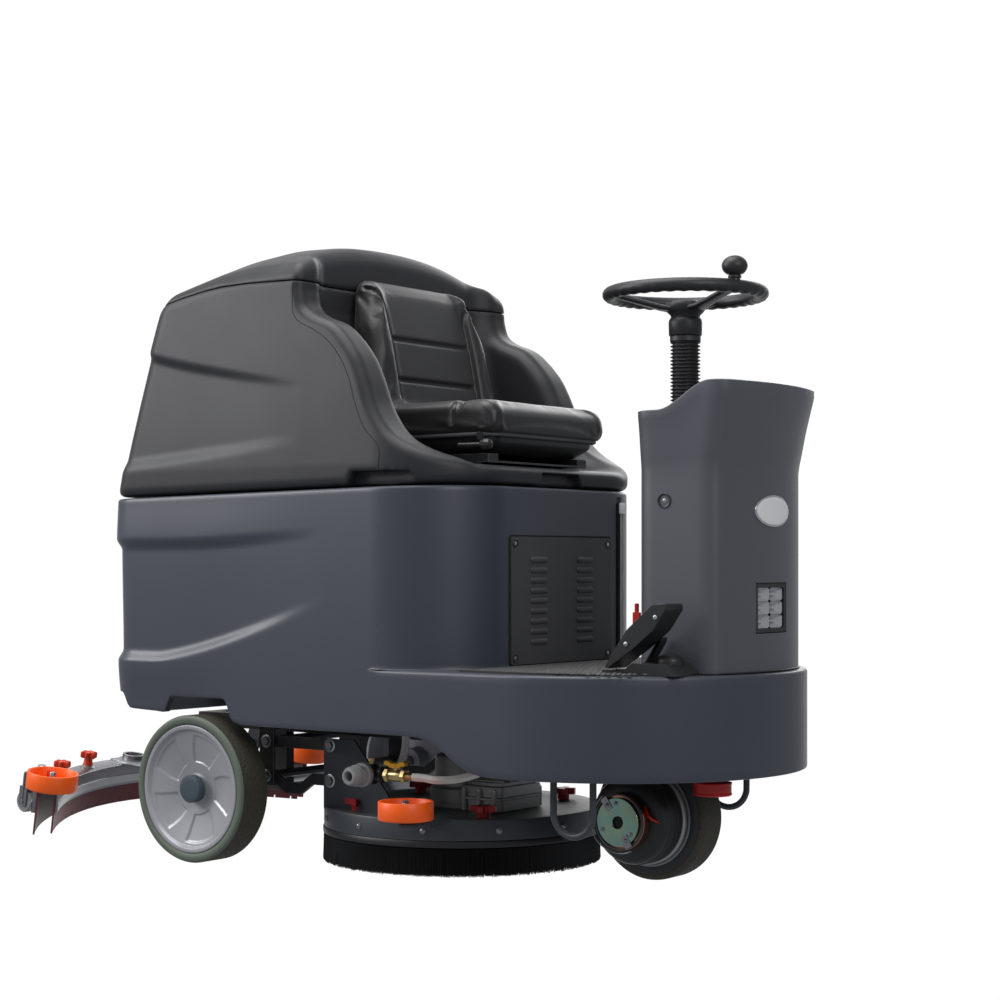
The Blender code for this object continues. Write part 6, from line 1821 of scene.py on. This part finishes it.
def baked(made):
    # the piece with its modifiers applied
    bpy.context.view_layer.update()
    result = bpy.data.meshes.new_from_object(made.evaluated_get(bpy.context.evaluated_depsgraph_get()))
    made.modifiers.clear()
    old = made.data
    result.name = old.name + "Done"
    made.data = result
    bpy.data.meshes.remove(old)


def pointsOf(mesh, source=None, key="co"):
    values = np.empty(len(mesh.vertices) * 3)
    (source or mesh.vertices).foreach_get(key, values)
    return values.reshape(-1, 3)


def seamDepth(x, y, z):
    s = seatShape
    side = np.abs(y)
    wide = 0.0042
    line = lambda distance: np.exp(-(distance / wide) ** 2)
    front = (x > s["rear"] - s["lean"] * (z - s["foot"]) + 0.028) & (z > 0.935)
    edge = s["channel"] + 0.034 * np.clip((z - 1.115) / 0.065, 0, 1) ** 2
    grooves = front * (line((side - edge) * 0.8) * (z < 1.178) + (side < edge)
            * (line(z - 1.07) + line(z - 0.985)))
    top = (z > 0.88) & (x > 0.35) & (z < 0.945)
    notch = s["roll"] - 0.35 * np.clip(side - s["channel"], 0, 0.02)
    grooves = grooves + top * (line(side - s["channel"]) * (x < s["roll"]) + line(x - notch)
            + (side < s["channel"]) * line(x - 0.44) * 0.7)
    return 0.0075 * np.clip(grooves, 0, 1)


def makeSeat():
    s = seatShape
    seat = place("seat_cover", netMesh(seatField, (0.205, -0.225, 0.85), (0.655, 0.225, 1.225), s["pitch"]),
            "leather", "seat", ["seat_back", "seat_cushion"], crease=180)
    start = pointsOf(seat.data)
    held = seat.vertex_groups.new(name="held")
    rearFace = s["rear"] - s["lean"] * (start[:, 2] - s["foot"])
    low = np.argwhere((start[:, 2] < 0.866) | (start[:, 0] - originX < rearFace + 0.006))
    held.add([int(k) for k in low.ravel()], 1.0, "REPLACE")
    cloth = seat.modifiers.new("swell", "CLOTH")
    cloth.settings.use_pressure = True
    cloth.settings.uniform_pressure_force = s["swell"]
    cloth.settings.effector_weights.gravity = 0
    cloth.settings.vertex_group_mass = "held"
    cloth.settings.quality = 4
    cloth.collision_settings.use_collision = False
    scene = bpy.context.scene
    for step in range(1, s["frames"] + 1):
        scene.frame_set(step)
    swollen = seat.evaluated_get(bpy.context.evaluated_depsgraph_get()).data
    shift = pointsOf(swollen) - start
    seat.modifiers.clear()
    scene.frame_set(1)
    reach = np.linalg.norm(shift, axis=1, keepdims=True)
    shift *= np.minimum(1.0, s["cap"] / np.maximum(reach, 1e-9))
    seat.data.vertices.foreach_set("co", (start + shift).ravel())
    seat.data.update()
    seat.vertex_groups.clear()
    step = seat.modifiers.new("smooth", "SUBSURF")
    step.levels = step.render_levels = 1
    baked(seat)
    points = pointsOf(seat.data)
    normals = pointsOf(seat.data, seat.data.vertex_normals, "vector")
    depth = seamDepth(points[:, 0] - originX, points[:, 1], points[:, 2])
    seat.data.vertices.foreach_set("co", (points - normals * depth[:, None]).ravel())
    seat.data.update()
    seat.data.shade_smooth()
    corners = [(0.345, -0.192, 0.012), (0.618, -0.19, 0.036), (0.618, 0.19, 0.036), (0.345, 0.192, 0.012)]
    edge = [(x, y, 0.86) for x, y in rounded(corners, 10)]
    bowl = []
    for inset, z in ((0.0, 0.856), (0.0, 0.85), (0.004, 0.843), (0.014, 0.834), (0.026, 0.8245)):
        bowl.append([(x, y, z) for x, y in rounded([(0.34 + inset, -0.184 + inset, 0.02),
                (0.612 - inset, -0.184 + inset, 0.034), (0.612 - inset, 0.184 - inset, 0.034),
                (0.34 + inset, 0.184 - inset, 0.02)], 8)])
    place("seat_pan_shell", skin(bowl), "blackPlastic", "seat", ["seat_pan"], crease=50)
    buckle = rounded([(0.585, 0.848, 0.002), (0.597, 0.848, 0.002), (0.597, 0.864, 0.003),
            (0.585, 0.864, 0.003)], 3)
    place("seat_strap", bar(buckle, -0.1955, -0.185, "Y"), "blackPlastic", "seat", bevel=0.0008)
    place("seat_piping", pipe(edge, 0.0044, 10, 0, closed=True), "piping", "seat")


makeSeat()
print("seat made")


# Frame parts that keep their own shape and take a finish

carried = {"chassis_frame": "darkSteel", "rear_axle": "zinc", "battery_pack": "blackPlastic",
           "column_tube": "darkSteel",
           "steering_shaft": "zinc", "steering_chain": "zinc", "upper_arm": "darkSteel",
           "lower_arm": "darkSteel",
           "seat_rails": "darkSteel", "seat_pan": "blackPlastic", "vacuum_motor": "blackPlastic",
           "squeegee_lift_arm": "darkSteel", "brush_switch": "blackPlastic", "dash_panel": "panelSheet",
           "seat_lever": "blackPlastic", "drive_yoke": "castAlloy"}
fallback = {"zinc_steel": "zinc", "stainless": "stainless", "chrome": "chrome", "brass": "brass",
            "cast_aluminium": "castAlloy", "black_plastic": "blackPlastic", "black_rubber": "matRubber",
            "seat_leather": "leather", "clear_plastic": "clearPlastic", "hose_white": "hoseWhite",
            "orange_polyurethane": "orangeUrethane", "red_plastic": "redPlastic",
            "yellow_plastic": "yellowPlastic",
            "blade_rubber": "bladeRubber", "tyre_green": "tyreGreen", "drive_tyre": "treadOlive",
            "rim_grey": "rimPaint",
            "bristle": "bristle", "frame_paint": "framePaint", "panel_charcoal": "panelSheet",
            "body_blue_grey": "bodyPaint", "tank_charcoal": "tankPaint"}
for name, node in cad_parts.items():
    own = node.material_slots[0].material.name.split(".")[0]
    finish = carried.get(name, fallback.get(own, "darkSteel"))
    for slot in node.material_slots:
        slot.material = finishes[finish]


# Light and camera: a white backdrop behind the machine and a dim room round it

cameraShape = {"at": (2.6778, -3.3197, 0.6116), "turn": 36.41, "lens": 72.72, "rise": 0.062}
backdropShape = {"start": 0.8, "full": 0.9, "room": (0.3, 0.31, 0.33, 1), "white": (1.02, 1.02, 1.02, 1)}
world = bpy.data.worlds.new("studio")
bpy.context.scene.world = world
world.use_nodes = True
tree = world.node_tree
direction = tree.nodes.new("ShaderNodeTexCoord").outputs["Generated"]
toward = tree.nodes.new("ShaderNodeVectorMath")
toward.operation = "DOT_PRODUCT"
heading = math.radians(cameraShape["turn"])
toward.inputs[1].default_value = (-math.sin(heading), math.cos(heading), 0.0)
tree.links.new(direction, toward.inputs[0])
spread = tree.nodes.new("ShaderNodeMapRange")
spread.interpolation_type = "SMOOTHSTEP"
spread.inputs["From Min"].default_value = backdropShape["start"]
spread.inputs["From Max"].default_value = backdropShape["full"]
tree.links.new(toward.outputs["Value"], spread.inputs["Value"])
backdrop = tree.nodes.new("ShaderNodeMix")
backdrop.data_type = "RGBA"
backdrop.inputs["A"].default_value = backdropShape["room"]
backdrop.inputs["B"].default_value = backdropShape["white"]
tree.links.new(spread.outputs["Result"], backdrop.inputs["Factor"])
tree.links.new(backdrop.outputs["Result"], tree.nodes["Background"].inputs["Color"])

lamps = {"overhead": {"at": (-0.2, -0.6, 3.4), "aim": (0.0, 0, 0.6), "size": 2.6, "power": 90},
         "left": {"at": (-3.0, -2.6, 2.4), "aim": (0, 0, 0.7), "size": 2.0, "power": 110},
         "front": {"at": (3.4, -1.6, 2.2), "aim": (0.6, 0, 0.6), "size": 1.6, "power": 36},
         "back": {"at": (-0.6, 3.4, 2.4), "aim": (0, 0, 0.7), "size": 2.4, "power": 50}}
for name, lamp in lamps.items():
    data = bpy.data.lights.new(name, "AREA")
    data.shape = "SQUARE"
    data.size = lamp["size"]
    data.energy = lamp["power"]
    made = bpy.data.objects.new(name + "Lamp", data)
    made.location = lamp["at"]
    made.rotation_euler = (Vector(lamp["aim"]) - Vector(lamp["at"])).to_track_quat("-Z", "Y").to_euler()
    bpy.context.scene.collection.objects.link(made)

cameraData = bpy.data.cameras.new("camera")
cameraData.lens = cameraShape["lens"]
cameraData.sensor_width = 36
cameraData.shift_y = cameraShape["rise"]
camera = bpy.data.objects.new("camera", cameraData)
camera.location = cameraShape["at"]
camera.rotation_euler = (math.pi / 2, 0, math.radians(cameraShape["turn"]))
bpy.context.scene.collection.objects.link(camera)
bpy.context.scene.camera = camera
bpy.context.scene.view_settings.view_transform = "Standard"
print("light and camera made")

sizes = {name: [list(corner) for corner in box] for name, box in (("cad", cadBox), ("visual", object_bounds()))}
print("sizes", sizes)
